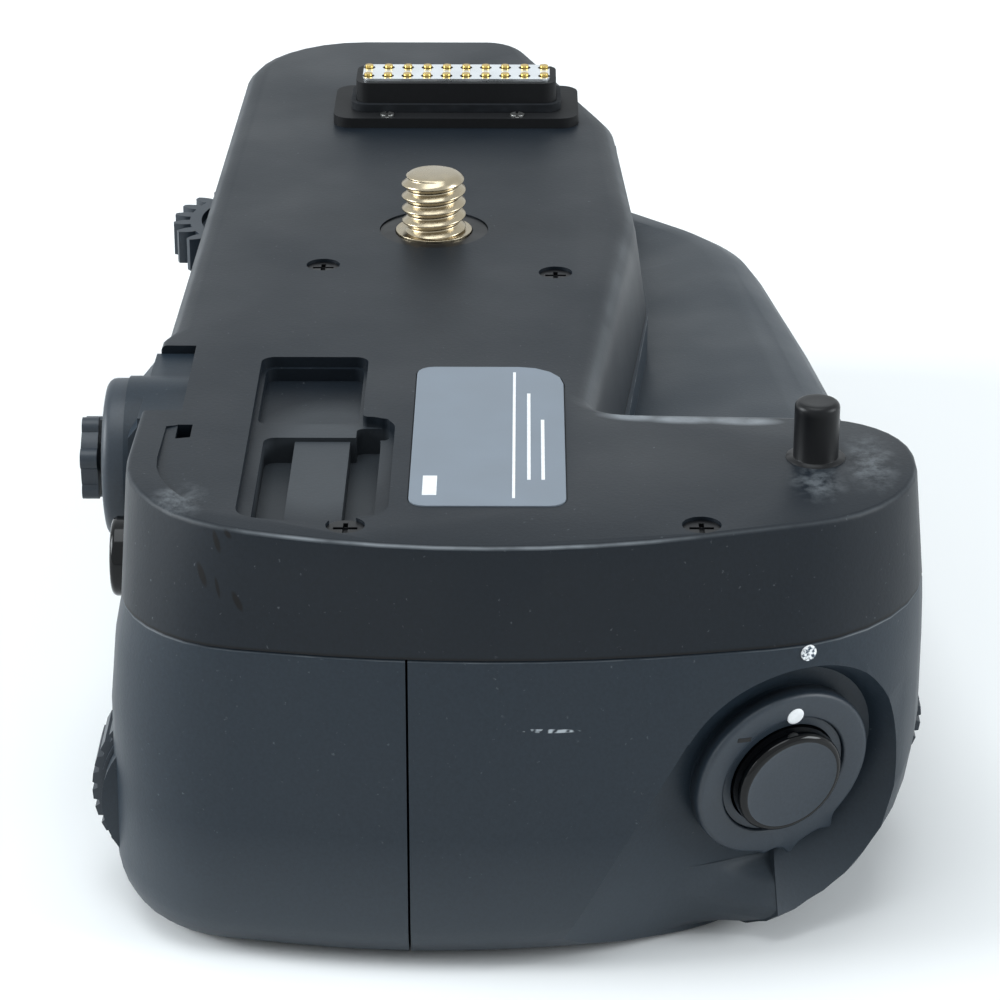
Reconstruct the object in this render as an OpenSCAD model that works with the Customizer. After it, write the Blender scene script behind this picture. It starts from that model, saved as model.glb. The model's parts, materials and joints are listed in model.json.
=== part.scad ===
// Vertical battery grip for a camera body, as it comes apart on a bench.
// X runs along the grip with the shutter end at -X, -Y is the camera's front, and +Z is up.
// Z = 0 is the base and Z = body_height is the face that meets the camera. Millimetres.
// Lengths named *_from_end are measured along X from the shutter end.

/* [Housing] */
// Length of the housing between its two ends
housing_length = 140.8; // [137:0.5:152]
// Reach of the cover's rear edge from the middle plane, at the shutter end
rear_reach = 33.9; // [32.8:0.1:36.5]
// Reach of the cover's front edge from the middle plane, at the shutter end
front_reach = 34.5; // [33.4:0.1:37.5]
// Height from the base to the mating face
body_height = 40; // [39.5:0.5:46]
// Height of the top cover's skirt, down from the mating face to the seam
skirt_height = 10.2; // [9.6:0.1:11.4]
// Thickness of the mating plate
plate_t = 2; // [1.6:0.1:2.4]
// Thickness of the top cover's skirt
skirt_t = 2; // [1.4:0.1:2.6]
// Radius of the bowed shutter end, in plan
end_bow = 63; // [50:1:80]
// Corner radius in plan between the shutter end and the rear wall
rear_corner = 15.5; // [12:0.5:17]
// Corner radius in plan between the shutter end and the front wall
front_corner = 13.5; // [10:0.5:15]
// Corner radius in plan between the door end and the rear wall
door_corner = 13; // [9:0.5:14]
// Inward lean of the rear wall, in plan, in degrees
rear_taper = 1.3; // [0.6:0.1:1.6]
// Inward lean of the front wall, in plan, in degrees
front_taper = 4.9; // [4:0.1:5.4]
// Widening of the top cover on its front side, from the mating face down to the seam
front_draft = 1.1; // [0.7:0.1:1.4]
// Widening of the top cover on its rear side, from the mating face down to the seam
rear_draft = 0.4; // [0.2:0.1:0.7]
// Widening of the shells below the seam, on the front side
front_flare = 0.2; // [0.1:0.1:0.6]
// Widening of the shells below the seam, on the rear side
rear_flare = 1.4; // [0.8:0.1:1.6]
// Distance of the split between the two shells from the middle plane
split_y = 9.4; // [8.6:0.1:10.4]
// Width of the parting line between the two shells
split_gap = 0.2; // [0.1:0.05:0.3]

/* [Underside] */
// Inset of the base's edge from the rear wall
foot_rear = 4.5; // [3.5:0.5:7]
// Height at which the rear wall starts
foot_rear_rise = 6; // [4:0.5:8]
// Inset of the base's edge from the two ends
foot_end = 5; // [4:0.5:7]
// Height at which the end walls start
foot_end_rise = 5; // [4:0.5:8]
// How far the base stops short of the shutter end's front half
foot_near = 7.5; // [5:0.5:9]
// Height over which the shutter end's front half closes on the base
foot_near_rise = 6.5; // [5:0.5:8]
// Inset of the base's edge from the front wall
foot_front = 20; // [16:0.5:23]
// Height at which the front wall starts
foot_front_rise = 17; // [14:0.5:19]

/* [Hand grip] */
// Swelling of the hand grip past the front wall's line
grip_swell = 1.4; // [0.8:0.1:1.8]
// Inset of the swelling's shoulder from the front wall
shoulder_inset = 7; // [5:0.25:8]
// Drop of the swelling's rounded shoulder
shoulder_drop = 6; // [4:0.25:7]
// Fall of the swelling's top towards the door end, in degrees
shoulder_fall = 3.8; // [2.5:0.1:4.4]
// Depth of the valley between the swelling and the plate
valley_dip = 1.2; // [0.6:0.1:1.8]
// Thickness of the thumb rubber
rubber_t = 1.2; // [0.8:0.1:1.6]
// Height of the grip rubber above its shell
rubber_proud = 0.7; // [0.4:0.05:0.8]
// Length of the thumb rubber
thumb_length = 34; // [28:1:38]
// Height of the thumb rubber
thumb_height = 15; // [12:0.5:16]

/* [Mating plate] */
// Length of the lobe that carries the guide pin
lobe_length = 28.25; // [27.5:0.25:30]
// Corner radius of the lobe beside the hand grip
lobe_corner = 9; // [6:0.5:10]
// Distance of the plate's front edge from the middle plane beside the lobe
notch_reach = 6.2; // [5.6:0.1:7.5]
// Distance of the plate's front edge from the middle plane at its widest
waist_reach = 11.6; // [11:0.1:12.5]
// Place of the plate's widest point, from the shutter end
waist_from_end = 80; // [74:0.5:86]
// Rounding of the plate's edge at the shutter end
edge_round = 0.5; // [0.3:0.1:0.9]
// Rounding of the plate's edge along the hand grip
front_round = 2.6; // [1.6:0.1:3]
// Rounding of the plate's edge along the rear wall, past the selector
rear_round = 2.2; // [1.4:0.1:2.6]
// Diameter of the guide pin
pin_d = 3.85; // [3.4:0.05:4.4]
// Height of the guide pin above the plate
pin_h = 5.2; // [4:0.1:6]
// Place of the guide pin from the shutter end
pin_from_end = 18.6; // [17:0.1:19.5]
// Distance of the guide pin from the middle plane, on the front side
pin_y = 25; // [24:0.1:26]
// Width of the label
label_w = 13.1; // [11:0.1:13.6]
// Length of the label
label_l = 30.7; // [26:0.1:32]
// Thickness of the label
label_t = 0.35; // [0.3:0.05:0.5]

/* [Contact cap recess] */
// Width of the recess that keeps the camera's contact cap
cap_w = 12.6; // [11.5:0.1:13]
// Length of the recess
cap_l = 36; // [33:0.5:37]
// Depth of the ledge round the recess
cap_ledge = 1; // [0.6:0.1:1.4]
// Depth of the recess
cap_depth = 3.4; // [2.6:0.1:3.6]
// Width of the island that the cap clips over
island_w = 4.8; // [4:0.1:5.4]

/* [Mounting screw and wheel] */
// Thread diameter of the mounting screw
screw_d = 6.35; // [5:0.05:7.5]
// Height of the mounting screw above the plate
screw_h = 5.9; // [4.8:0.1:6.5]
// Place of the mounting screw from the shutter end
screw_from_end = 75.75; // [74:0.25:78]
// Distance of the mounting screw from the middle plane, on the rear side
screw_y = 8.8; // [8:0.1:9.4]
// Tooth module of the wheel and the screw's gear
tooth_module = 0.8; // [0.76:0.01:0.84]
// Teeth of the attachment wheel
wheel_teeth = 26; // [24:2:28]
// Teeth of the mounting screw's gear
screw_teeth = 28; // [26:2:30]
// Thickness of the wheel and the gear
gear_t = 3.4; // [2.8:0.1:3.8]
// Direction from the screw to the wheel, in degrees
wheel_bearing = 48.6; // [46:0.2:51]
// Thickness of the gear bracket
bracket_t = 1.9; // [1.4:0.1:2.2]

/* [Connector] */
// Width of the connector's flange
connector_w = 26.4; // [24:0.2:28]
// Length of the connector's flange
connector_l = 11.8; // [10.5:0.1:13]
// Height of the connector above the plate
connector_h = 4.2; // [3.4:0.1:4.8]
// Place of the connector's front edge from the shutter end
connector_from_end = 107.7; // [104:0.5:112]
// Contacts in each of the connector's two rows
connector_contacts = 10; // [8:1:11]

/* [Shutter] */
// Outer diameter of the lock ring
ring_d = 16.4; // [15:0.1:17]
// Height of the lock ring above its facet
ring_h = 1.6; // [1.4:0.1:2]
// Diameter of the shutter button
button_d = 9.8; // [9:0.1:10.4]
// Height of the shutter button above the lock ring
button_proud = 1.8; // [1.5:0.1:2.1]
// Radius of the scoop round the lock ring
scoop_r = 10.8; // [10.4:0.1:11.4]
// Travel of the shutter button
button_travel = 1.4; // [1:0.1:1.6]
// Place of the facet's centre from the shutter end
shutter_from_end = 6.7; // [6.3:0.1:7.1]
// Distance of the facet's centre from the middle plane, on the front side
shutter_y = 21.5; // [21:0.1:22.2]
// Height of the facet's centre above the base
shutter_z = 16.8; // [16.3:0.1:17.4]
// Turn of the facet towards the front, in degrees
shutter_yaw = 27; // [25:0.5:29]
// Dip of the facet towards the base, in degrees
shutter_dip = 10.5; // [9:0.5:13]

/* [Rear controls] */
// Diameter of the multi selector's base
selector_base_d = 14.4; // [13:0.1:14.8]
// Diameter of the multi selector's knob
selector_d = 8.2; // [7:0.1:9]
// Lobes of the multi selector's knob
selector_lobes = 6; // [4:1:8]
// Tilt of the multi selector to each side, in degrees
selector_tilt = 6; // [4:0.5:7]
// Place of the multi selector from the shutter end
selector_from_end = 36.25; // [35.5:0.25:37]
// Diameter of the thumb button
thumb_button_d = 7; // [6:0.1:7.4]
// Place of the thumb button from the shutter end
thumb_button_from_end = 22; // [21.5:0.1:22.6]
// Travel of the thumb button
thumb_travel = 0.8; // [0.5:0.1:0.9]

/* [Command dials] */
// Diameter of the main dial
main_dial_d = 18; // [16:0.2:19]
// Width of the main dial
main_dial_w = 7; // [6:0.1:8]
// Grooves round the main dial
main_dial_grooves = 34; // [24:2:40]
// Diameter of the sub dial
sub_dial_d = 13; // [12:0.2:13.6]
// Width of the sub dial
sub_dial_w = 6; // [5:0.1:6.6]
// Grooves round the sub dial
sub_dial_grooves = 26; // [18:2:30]
// Diameter of the dial axles
axle_d = 2.4; // [1.8:0.1:3]

/* [Battery chamber] */
// Inner width of the battery chamber
chamber_w = 34; // [31:0.5:34.4]
// Wall of the chamber sleeve
sleeve_t = 1.2; // [1:0.1:1.4]
// Place of the chamber's closed end from the shutter end
chamber_from_end = 47.5; // [46:0.5:50]
// Length of the door end that slides out with the tray
door_l = 8; // [7:0.25:9]
// Wall of the battery tray
tray_t = 1.4; // [1:0.1:1.8]
// Diameter of the latch knob
latch_d = 15; // [12:0.5:17]
// Outer diameter of the tripod socket
socket_d = 12; // [11:0.5:13]

/* [Clearances] */
// Gap between pieces that move past each other
gap = 0.3; // [0.2:0.05:0.4]
// Radial play of a shaft that turns in its bore
play = 0.05; // [0.03:0.01:0.08]
// Radial room round a piece that is pressed or glued in
seat = 0.02; // [0.01:0.01:0.03]

/* [Hidden] */
$fn = 64;

// Steps in each rounded corner, in the base's rounding, in the shoulder and in the plate's edge
arc_n = 8;
foot_n = 6;
shoulder_n = 4;
round_n = 3;
skirt_n = 4;
// Reach of a cut that has to clear everything
far_out = 100;
over = 1;
edge_break = 0.4;

near_x = -housing_length / 2;
far_x = housing_length / 2;
seam_z = body_height - skirt_height;
under_z = body_height - plate_t;
shell_end_x = far_x - door_l - gap;
lobe_x = near_x + lobe_length;
waist_x = near_x + waist_from_end;
plate_end_x = far_x - 1;
front_out = front_draft + front_flare;
rear_out = rear_draft + rear_flare;

// The shutter end: a bowed middle between two straight flanks, which lie flatter from the seam down
bow_y = 2.7;
bow_angle = 16;
low_angle = 10;
low_front_corner = 1.25 * front_corner;
low_rear_corner = 0.8 * rear_corner;
rear_tangent = rear_corner * tan((90 - bow_angle - rear_taper) / 2);
bow_r = min(end_bow, ((rear_reach - bow_y) / cos(bow_angle) - rear_tangent - 2) / tan(bow_angle));
bow_x = near_x - bow_r * (1 / cos(bow_angle) - 1);
low_r = bow_r * sin(bow_angle) / sin(low_angle);

// Place of the front end of the swelling, where it turns in towards the door
turn_x = far_x - 20.25;
turn_y = 10;

// Plan helpers
function unit(v) = v / norm(v);
function lerp(a, b, t) = a + (b - a) * t;
function smooth(t) = let (c = max(0, min(1, t))) c * c * (3 - 2 * c);
function left_of(v) = [-v[1], v[0]];
function wrap(a) = a - 360 * round(a / 360);
function plan(c) = [c[0], c[1]];
function direction(v) = atan2(v[1], v[0]);

// Points of a corner at q between p and s, rounded to radius r
function corner_arc(p, q, s, r, n) = r == 0 ? [q] :
    let (u = unit(p - q), v = unit(s - q), half = acos(u * v) / 2,
        c = q + unit(u + v) * r / sin(half),
        from = direction(q + u * r / tan(half) - c),
        sweep = wrap(direction(q + v * r / tan(half) - c) - from))
    [for (i = [0:n]) c + r * [cos(from + sweep * i / n), sin(from + sweep * i / n)]];

// Closed outline through corners [x, y, radius], counter-clockwise from above
function outline(corners, n = arc_n) = let (k = len(corners))
    [for (i = [0:k - 1]) each corner_arc(plan(corners[(i + k - 1) % k]), plan(corners[i]),
        plan(corners[(i + 1) % k]), corners[i][2], n)];

// One value per outline point: values holds one for the edge after each corner
function spread(corners, values) = let (k = len(corners))
    [for (i = [0:k - 1]) each corners[i][2] == 0 ? [values[i]] :
        [for (j = [0:arc_n]) lerp(values[(i + k - 1) % k], values[i], smooth(j / arc_n))]];

// Corners moved inwards, with one inset for the edge after each corner
function inset_corner(c, n0, n1, d0, d1) = let (det = n0[0] * n1[1] - n0[1] * n1[0])
    abs(det) < 0.001 ? plan(c) + n1 * d1 :
    plan(c) + [d0 * n1[1] - d1 * n0[1], d1 * n0[0] - d0 * n1[0]] / det;
function inset_corners(corners, d) = let (k = len(corners),
        normals = [for (i = [0:k - 1]) left_of(unit(plan(corners[(i + 1) % k]) - plan(corners[i])))])
    [for (i = [0:k - 1]) let (h = (i + k - 1) % k, r = corners[i][2],
        q = inset_corner(corners[i], normals[h], normals[i], d[h], d[i]))
        [q[0], q[1], r == 0 ? 0 : turns_left(normals[h], normals[i]) ? max(r - min(d[h], d[i]), 0.5) : r + d[i]]];
function turns_left(a, b) = a[0] * b[1] - a[1] * b[0] >= 0;
function inset_all(corners, d) = inset_corners(corners, [for (c = corners) d]);

// Inward unit normal at each point of a closed ring, and the ring moved along it
function inward(ring) = let (k = len(ring))
    [for (i = [0:k - 1]) left_of(unit(ring[(i + 1) % k] - ring[(i + k - 1) % k]))];

// Lines of the housing in plan, at the mating face and at the shells
function flank_x(y) = bow_x + abs(y - bow_y) * tan(bow_angle);
function front_line(x) = -front_reach + (x - flank_x(-front_reach)) * tan(front_taper);
function rear_line(x) = rear_reach - (x - flank_x(rear_reach)) * tan(rear_taper);
function low_x(y) = near_x - low_r * (1 / cos(low_angle) - 1) + abs(y - bow_y) * tan(low_angle);
function swelling(x) = grip_swell * smooth((x - lobe_x + 4) / 18) * smooth((turn_x + 4 - x) / 50);
function front_wall(x) = front_line(x) - front_out - swelling(x);
function rear_wall(x) = rear_line(x) + rear_out;

// The shells' outline, with stations along the hand grip
grip_stations = [for (d = [-4, 0, 3, 6, 9, 13, 18, 28, 42, 58, 72]) lobe_x + d];
function low_corners(front, rear) = concat(
    [[low_x(bow_y), bow_y, low_r], [low_x(-front_reach - front), -front_reach - front, low_front_corner]],
    [for (x = grip_stations) [x, front_wall(x) + front_out - front, 0]],
    [[turn_x, front_wall(turn_x) + front_out - front, 30], [far_x, -turn_y, 10],
        [far_x, rear_line(far_x) + rear, door_corner],
        [low_x(rear_reach + rear), rear_reach + rear, low_rear_corner]]);
wall_corners = low_corners(front_out, rear_out);
upper_corners = low_corners(front_draft, rear_draft);
on_front = concat([0, 1], [for (x = grip_stations) 1], [1, 0, 0, 0]);
foot_insets = concat([foot_near, foot_front], [for (x = grip_stations) foot_front],
    [foot_front * 0.7, foot_end, foot_rear, foot_end]);
foot_rises = concat([foot_near_rise, foot_front_rise], [for (x = grip_stations) foot_front_rise],
    [foot_front_rise * 0.7, foot_end_rise, foot_rear_rise, foot_end_rise]);

// Steps of the wall between the base's rounding and the seam: share of the height, share of the narrowing
wall_steps = [[0.6, 0.1], [0.85, 0.5]];

function swell_at(x, front) = front * smooth((x - lobe_x + 1) / 12);
function top_at(x, front) = seam_z - front * max(0, x - lobe_x) * tan(shoulder_fall);
function drop_at(x, front) = lerp(edge_break, shoulder_drop, swell_at(x, front));
function foot_rise(ring) = let (front = spread(wall_corners, on_front), rise = spread(wall_corners, foot_rises))
    [for (i = [0:len(ring) - 1]) let (x = ring[i][0], f = front[i]) min(rise[i], top_at(x, f) - drop_at(x, f) - over)];
foot_radii = concat([40, 6], [for (x = grip_stations) 0], [10, 4, 6, 7]);
function foot_outline(depth) = let (c = inset_corners(wall_corners, [for (d = foot_insets) d + depth]))
    outline([for (i = [0:len(c) - 1]) [c[i][0], c[i][1], foot_radii[i]]]);

// The top cover's outline at the mating face, and the rounding of its edge after each corner
lobe_lean = 1;
front_tangent = front_corner * tan((90 - bow_angle - front_taper) / 2);
lobe_r = min(lobe_corner, (lobe_x - lobe_lean - flank_x(-front_reach) - front_tangent - over) / tan(47));
bend_x = near_x + 110.5;
bend_y = 10;
selector_x = near_x + selector_from_end;
round_x = selector_x + selector_base_d / 2 + 2;
cover_corners = [[bow_x, bow_y, bow_r], [flank_x(-front_reach), -front_reach, front_corner],
    [lobe_x - lobe_lean, front_line(lobe_x), lobe_r], [lobe_x, -notch_reach, 4], [waist_x, -waist_reach, 40],
    [bend_x, -bend_y, 20], [plate_end_x, -0.2, 6], [plate_end_x, rear_line(plate_end_x), door_corner],
    [round_x + 3, rear_line(round_x + 3), 0], [round_x, rear_line(round_x), 0],
    [flank_x(rear_reach), rear_reach, rear_corner]];
cover_rounds = [edge_round, edge_round, edge_round, front_round, front_round, front_round, edge_round,
    rear_round, rear_round, edge_round, edge_round];
// The same at the seam, where the skirt has widened
skirt_corners = let (f = front_draft, e = rear_draft) [[low_x(bow_y), bow_y, low_r],
    [low_x(-front_reach - f), -front_reach - f, low_front_corner],
    [lobe_x - lobe_lean + f, front_line(lobe_x) - f, lobe_r * 0.6],
    [lobe_x + f, -notch_reach - f, 4 - f], [waist_x, -waist_reach - f, 40], [bend_x, -bend_y - f, 20],
    [plate_end_x, -0.2 - f, 6], [plate_end_x, rear_line(plate_end_x) + e, door_corner],
    [round_x + 3, rear_line(round_x + 3) + e, 0], [round_x, rear_line(round_x) + e, 0],
    [low_x(rear_reach + e), rear_reach + e, low_rear_corner]];

// The shells' step under the plate, behind the swelling
step_out = front_out;
step_corners = [[lobe_x - 2, -notch_reach - step_out, 0], [waist_x, -waist_reach - step_out, 40],
    [bend_x, -bend_y - step_out, 20], [far_x - 0.1, -9.2 - step_out, 8], [far_x - 0.1, 5, 0],
    [lobe_x - 2, 5, 0]];

// Places
pin_at = [near_x + pin_from_end, -pin_y];
screw_at = [near_x + screw_from_end, screw_y];
wheel_pitch = tooth_module * wheel_teeth / 2;
screw_pitch = tooth_module * screw_teeth / 2;
wheel_at = screw_at + (wheel_pitch + screw_pitch) * [cos(wheel_bearing), sin(wheel_bearing)];
gear_top = under_z - 2;
gear_bottom = gear_top - gear_t;
bracket_top = gear_bottom - gap;
bracket_bottom = bracket_top - bracket_t;
shutter_at = [near_x + shutter_from_end, -shutter_y, shutter_z];
selector_z = body_height - 0.4 - selector_base_d / 2 - 0.2;
thumb_button_x = near_x + thumb_button_from_end;
thumb_button_z = seam_z - 0.8;
label_x = near_x + 8.1;
label_y = -3.7;
label_proud = 0.1;
label_corners = [[label_x, label_y, 1.5], [label_x + label_l, label_y, 4],
    [label_x + label_l, label_y + label_w, 1.5], [label_x, label_y + label_w, 1.5]];
connector_x = near_x + connector_from_end;
connector_y = -6;
cap_x = near_x + 5.3;
cap_y = 11;
main_dial_x = near_x + 13.5;
main_dial_z = 10.3;
main_dial_y = rear_wall(main_dial_x) + 1.9 - main_dial_d / 2;
sub_dial_x = near_x + 21.5;
sub_dial_z = 13.5;
sub_dial_y = front_wall(sub_dial_x) - 0.9 + sub_dial_d / 2;

// Battery chamber, inside the sleeve
chamber_x = near_x + chamber_from_end;
chamber_y = -7.2;
chamber_z = 7.6;
sleeve_top = bracket_bottom - 1;
chamber_h = sleeve_top - sleeve_t - chamber_z;
chamber_mid_y = chamber_y + chamber_w / 2;
chamber_mid_z = chamber_z + chamber_h / 2;
tray_l = shell_end_x + gap - chamber_x - gap;

// Skin through rings of as many points each, the first at the bottom. The top is flat, or a fan
// to one apex point.
module skin(rings, apex = undef) {
    n = len(rings[0]);
    m = len(rings);
    points = concat([for (r = rings) each r], apex == undef ? [] : [apex]);
    sides = [for (j = [0:m - 2], i = [0:n - 1]) let (a = j * n + i, b = j * n + (i + 1) % n)
        each [[a, b + n, b], [a, a + n, b + n]]];
    top = apex == undef ? [[for (i = [n - 1:-1:0]) (m - 1) * n + i]] :
        [for (i = [0:n - 1]) [(m - 1) * n + i, m * n, (m - 1) * n + (i + 1) % n]];
    polyhedron(concat(points), concat(sides, top, [[for (i = [0:n - 1]) i]]));
}

// Outer form of the shells: a foot, a wall that narrows towards the seam, and the hand grip's shoulder
module body_form() {
    ring = outline(wall_corners);
    upper = outline(upper_corners);
    foot = foot_outline(0);
    rise = foot_rise(ring);
    front = spread(wall_corners, on_front);
    n = inward(upper);
    last = len(ring) - 1;
    swell = [for (i = [0:last]) swell_at(ring[i][0], front[i])];
    inset = [for (s = swell) lerp(edge_break, shoulder_inset, s)];
    drop = [for (i = [0:last]) drop_at(ring[i][0], front[i])];
    top = [for (i = [0:last]) top_at(ring[i][0], front[i])];
    shoulder = [for (i = [0:last]) upper[i] + n[i] * inset[i]];
    valley = [for (i = [0:last]) let (x = shoulder[i][0], d = max(0, x - lobe_x)) lerp(shoulder[i] + n[i] * over,
        [x - 0.05 * d, max(shoulder[i][1] + over, 1 - lerp(notch_reach, waist_reach, smooth(d / 60)))], swell[i])];
    skin(concat(
        [for (k = [0:foot_n]) let (s = sin(90 * k / foot_n), c = 1 - cos(90 * k / foot_n))
            [for (i = [0:last]) let (p = lerp(foot[i], ring[i], s)) [p[0], p[1], rise[i] * c]]],
        [for (w = wall_steps)
            [for (i = [0:last]) let (p = lerp(ring[i], upper[i], w[1]))
                [p[0], p[1], lerp(rise[i], top[i] - drop[i], w[0])]]],
        [for (k = [0:shoulder_n]) let (s = sin(90 * k / shoulder_n), c = 1 - cos(90 * k / shoulder_n))
            [for (i = [0:last]) let (p = upper[i] + n[i] * inset[i] * c)
                [p[0], p[1], top[i] - drop[i] * (1 - s)]]],
        [for (t = [0.5, 1])
            [for (i = [0:last]) let (p = lerp(shoulder[i], valley[i], t))
                [p[0], p[1], top[i] - valley_dip * swell[i] * smooth(t)]]]),
        [lobe_x + 7, 8, seam_z]);
}

// The shells before they are split: the outer form and its step under the plate
module shells_form() {
    body_form();
    slab(step_corners, seam_z / 2, seam_z);
}

// Plate inside corners [x, y, radius], between two heights
module slab(corners, z0, z1, n = arc_n) {
    translate([0, 0, z0]) linear_extrude(z1 - z0) polygon(outline(corners, n));
}

// Outer form of the top cover: a skirt that widens down to the seam, and a rounded edge
module cover_form() {
    rim = outline(cover_corners);
    rounds = spread(cover_corners, cover_rounds);
    n = inward(rim);
    skirt = outline(skirt_corners);
    skin(concat([for (k = [0:skirt_n - 1]) [for (i = [0:len(rim) - 1]) let (p = lerp(skirt[i], rim[i], k / skirt_n))
            [p[0], p[1], lerp(seam_z, body_height - rounds[i], k / skirt_n)]]],
        [for (k = [0:round_n]) let (s = sin(90 * k / round_n), c = 1 - cos(90 * k / round_n))
            [for (i = [0:len(rim) - 1]) let (p = rim[i] + n[i] * rounds[i] * c)
                [p[0], p[1], body_height - rounds[i] * (1 - s)]]]));
}

// Box between two corners
module box(low, high) {
    translate(low) cube(high - low);
}

// Plate with rounded corners, from a low corner, with its thickness along Z
module rounded_plate(low, size, r) {
    high = low + size;
    slab([[low[0], low[1], r], [high[0], low[1], r], [high[0], high[1], r], [low[0], high[1], r]],
        low[2], high[2], 4);
}

module tube(r_out, r_in, h) {
    difference() {
        cylinder(r = r_out, h = h);
        translate([0, 0, -over]) cylinder(r = r_in, h = h + 2 * over);
    }
}

module along_x() {
    rotate([0, 90, 0]) children();
}

module along_y() {
    rotate([-90, 0, 0]) children();
}

// Frame of the shutter facet: local Z leaves the facet, local X points down
module at_shutter() {
    translate(shutter_at) rotate([0, 0, 180 + shutter_yaw]) rotate([0, 90 + shutter_dip, 0]) children();
}

// Frame of the rear wall: local Z leaves it, local X runs towards the door end
module at_rear(x, z) {
    translate([x, rear_wall(x), z]) along_y() children();
}

// Involute gear, in plan, with a little backlash
pressure = 20;
backlash = 0.14;
function inv(a) = tan(a) * 180 / PI - a;
function gear_ring(teeth) = let (rp = tooth_module * teeth / 2, rb = rp * cos(pressure),
        root = rp - 1.25 * tooth_module, tip = rp + 0.85 * tooth_module,
        half = (PI * tooth_module / 2 - backlash) / 2 / rp * 180 / PI + inv(pressure),
        flank = [for (i = [0:4]) let (r = lerp(rb, tip, i / 4)) [r, half - inv(acos(min(1, rb / r)))]],
        tooth = concat([[root, -half]], [for (f = flank) [f[0], -f[1]]],
            [for (i = [4:-1:0]) flank[i]], [[root, half]]))
    [for (k = [0:teeth - 1]) each [for (p = tooth) p[0] * [cos(p[1] + 360 * k / teeth),
        sin(p[1] + 360 * k / teeth)]]];

// Grooved rim of a dial, in plan
function grooved_ring(r, grooves, depth) = [for (k = [0:grooves - 1]) let (s = 360 / grooves)
    each [for (p = [[r - depth, -0.22], [r, -0.12], [r, 0.42], [r - depth, 0.54]])
        p[0] * [cos((k + p[1]) * s), sin((k + p[1]) * s)]]];

// Panel of the rear shell that carries the thumb controls, above the seam
panel_x0 = near_x + 17;
panel_x1 = selector_x + selector_base_d / 2 + 0.6;
panel_top = seam_z + 4.6;
housing_x0 = selector_x - selector_base_d / 2 - 0.4;
housing_top = body_height - 0.8;
panel_t = 5.6;
module panel_space() {
    box([panel_x0, rear_reach - panel_t, seam_z - over], [panel_x1, far_out, panel_top]);
    box([housing_x0, rear_line(selector_x) - 3.4, seam_z - over], [panel_x1, far_out, far_out]);
}

// Screws of the top cover: two into the gear bracket, two into the shells at the shutter end
bracket_posts = [[screw_at[0] - 10.3, screw_at[1] + 10.5], [screw_at[0] - 12.3, screw_at[1] - 12]];
end_posts = [[near_x + 4.4, bow_y + 11.7], [near_x + 4.6, bow_y - 17.4]];
cover_head_r = 1.6;
cover_shank_r = 0.9;
cover_head_z = body_height - 1.1;
board_x0 = near_x + 10.4;
board_x1 = lobe_x - skirt_t - 1.2;
board_y0 = -18;
board_y1 = 8.6;
board_posts = [for (x = [board_x0 + 2.4, board_x1 - 2.4], y = [board_y0 + 2.4, board_y1 - 2.4]) [x, y]];

// Plan of the contact-cap recess: a wide part with a bowed end and a narrower pocket
cap_wide = 22;
cap_side = 2.9;
cap_corners = [[cap_x + 1, cap_y + cap_w, 2], [cap_x - 0.9, cap_y + cap_w / 2, 14], [cap_x + 1.4, cap_y, 2.5],
    [cap_x + cap_wide, cap_y, 2.5], [cap_x + cap_wide, cap_y + cap_side, 0.5],
    [cap_x + cap_l, cap_y + cap_side, 1.2], [cap_x + cap_l, cap_y + cap_w, 1.2]];
cap_wall = 1.2;
pocket_depth = 0.65 * cap_depth;
module cap_recess() {
    low = body_height - cap_depth;
    slab(cap_corners, body_height - cap_ledge, body_height + over);
    difference() {
        rounded_plate([cap_x + cap_wall, cap_y + cap_wall, low],
            [cap_wide - 2.4 - cap_wall, cap_w - 2 * cap_wall, cap_depth + over], 1);
        box([cap_x - 2, cap_y + (cap_w - island_w) / 2, low - over],
            [cap_x + cap_wide - 2.6, cap_y + (cap_w + island_w) / 2, body_height - cap_ledge - 0.3]);
    }
    rounded_plate([cap_x + cap_wide + 0.6, cap_y + cap_side + 0.4, body_height - pocket_depth],
        [cap_l - cap_wide - 1, cap_w - cap_side - 0.8, pocket_depth + over], 1);
    rounded_plate([cap_x + cap_wide - 3, cap_y + 0.5, low], [2.6, cap_side, cap_depth + over], 0.6);
}

// Shallow crescent worn by the hand in the cover's rear corner, inside a rim
rim_w = 2.6;
crescent_fall = 6;
module crescent() {
    intersection() {
        slab(inset_all(cover_corners, rim_w), body_height - over, body_height + over);
        translate([near_x + 6.5, 24.6, body_height]) rotate([0, 0, 14]) rotate([-crescent_fall, 0, 0])
            cube([19.5, 12, 2 * over]);
    }
    box([near_x + 22.6, 28.6, body_height - 2], [near_x + 25.4, 29.9, body_height + over]);
}

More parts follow.
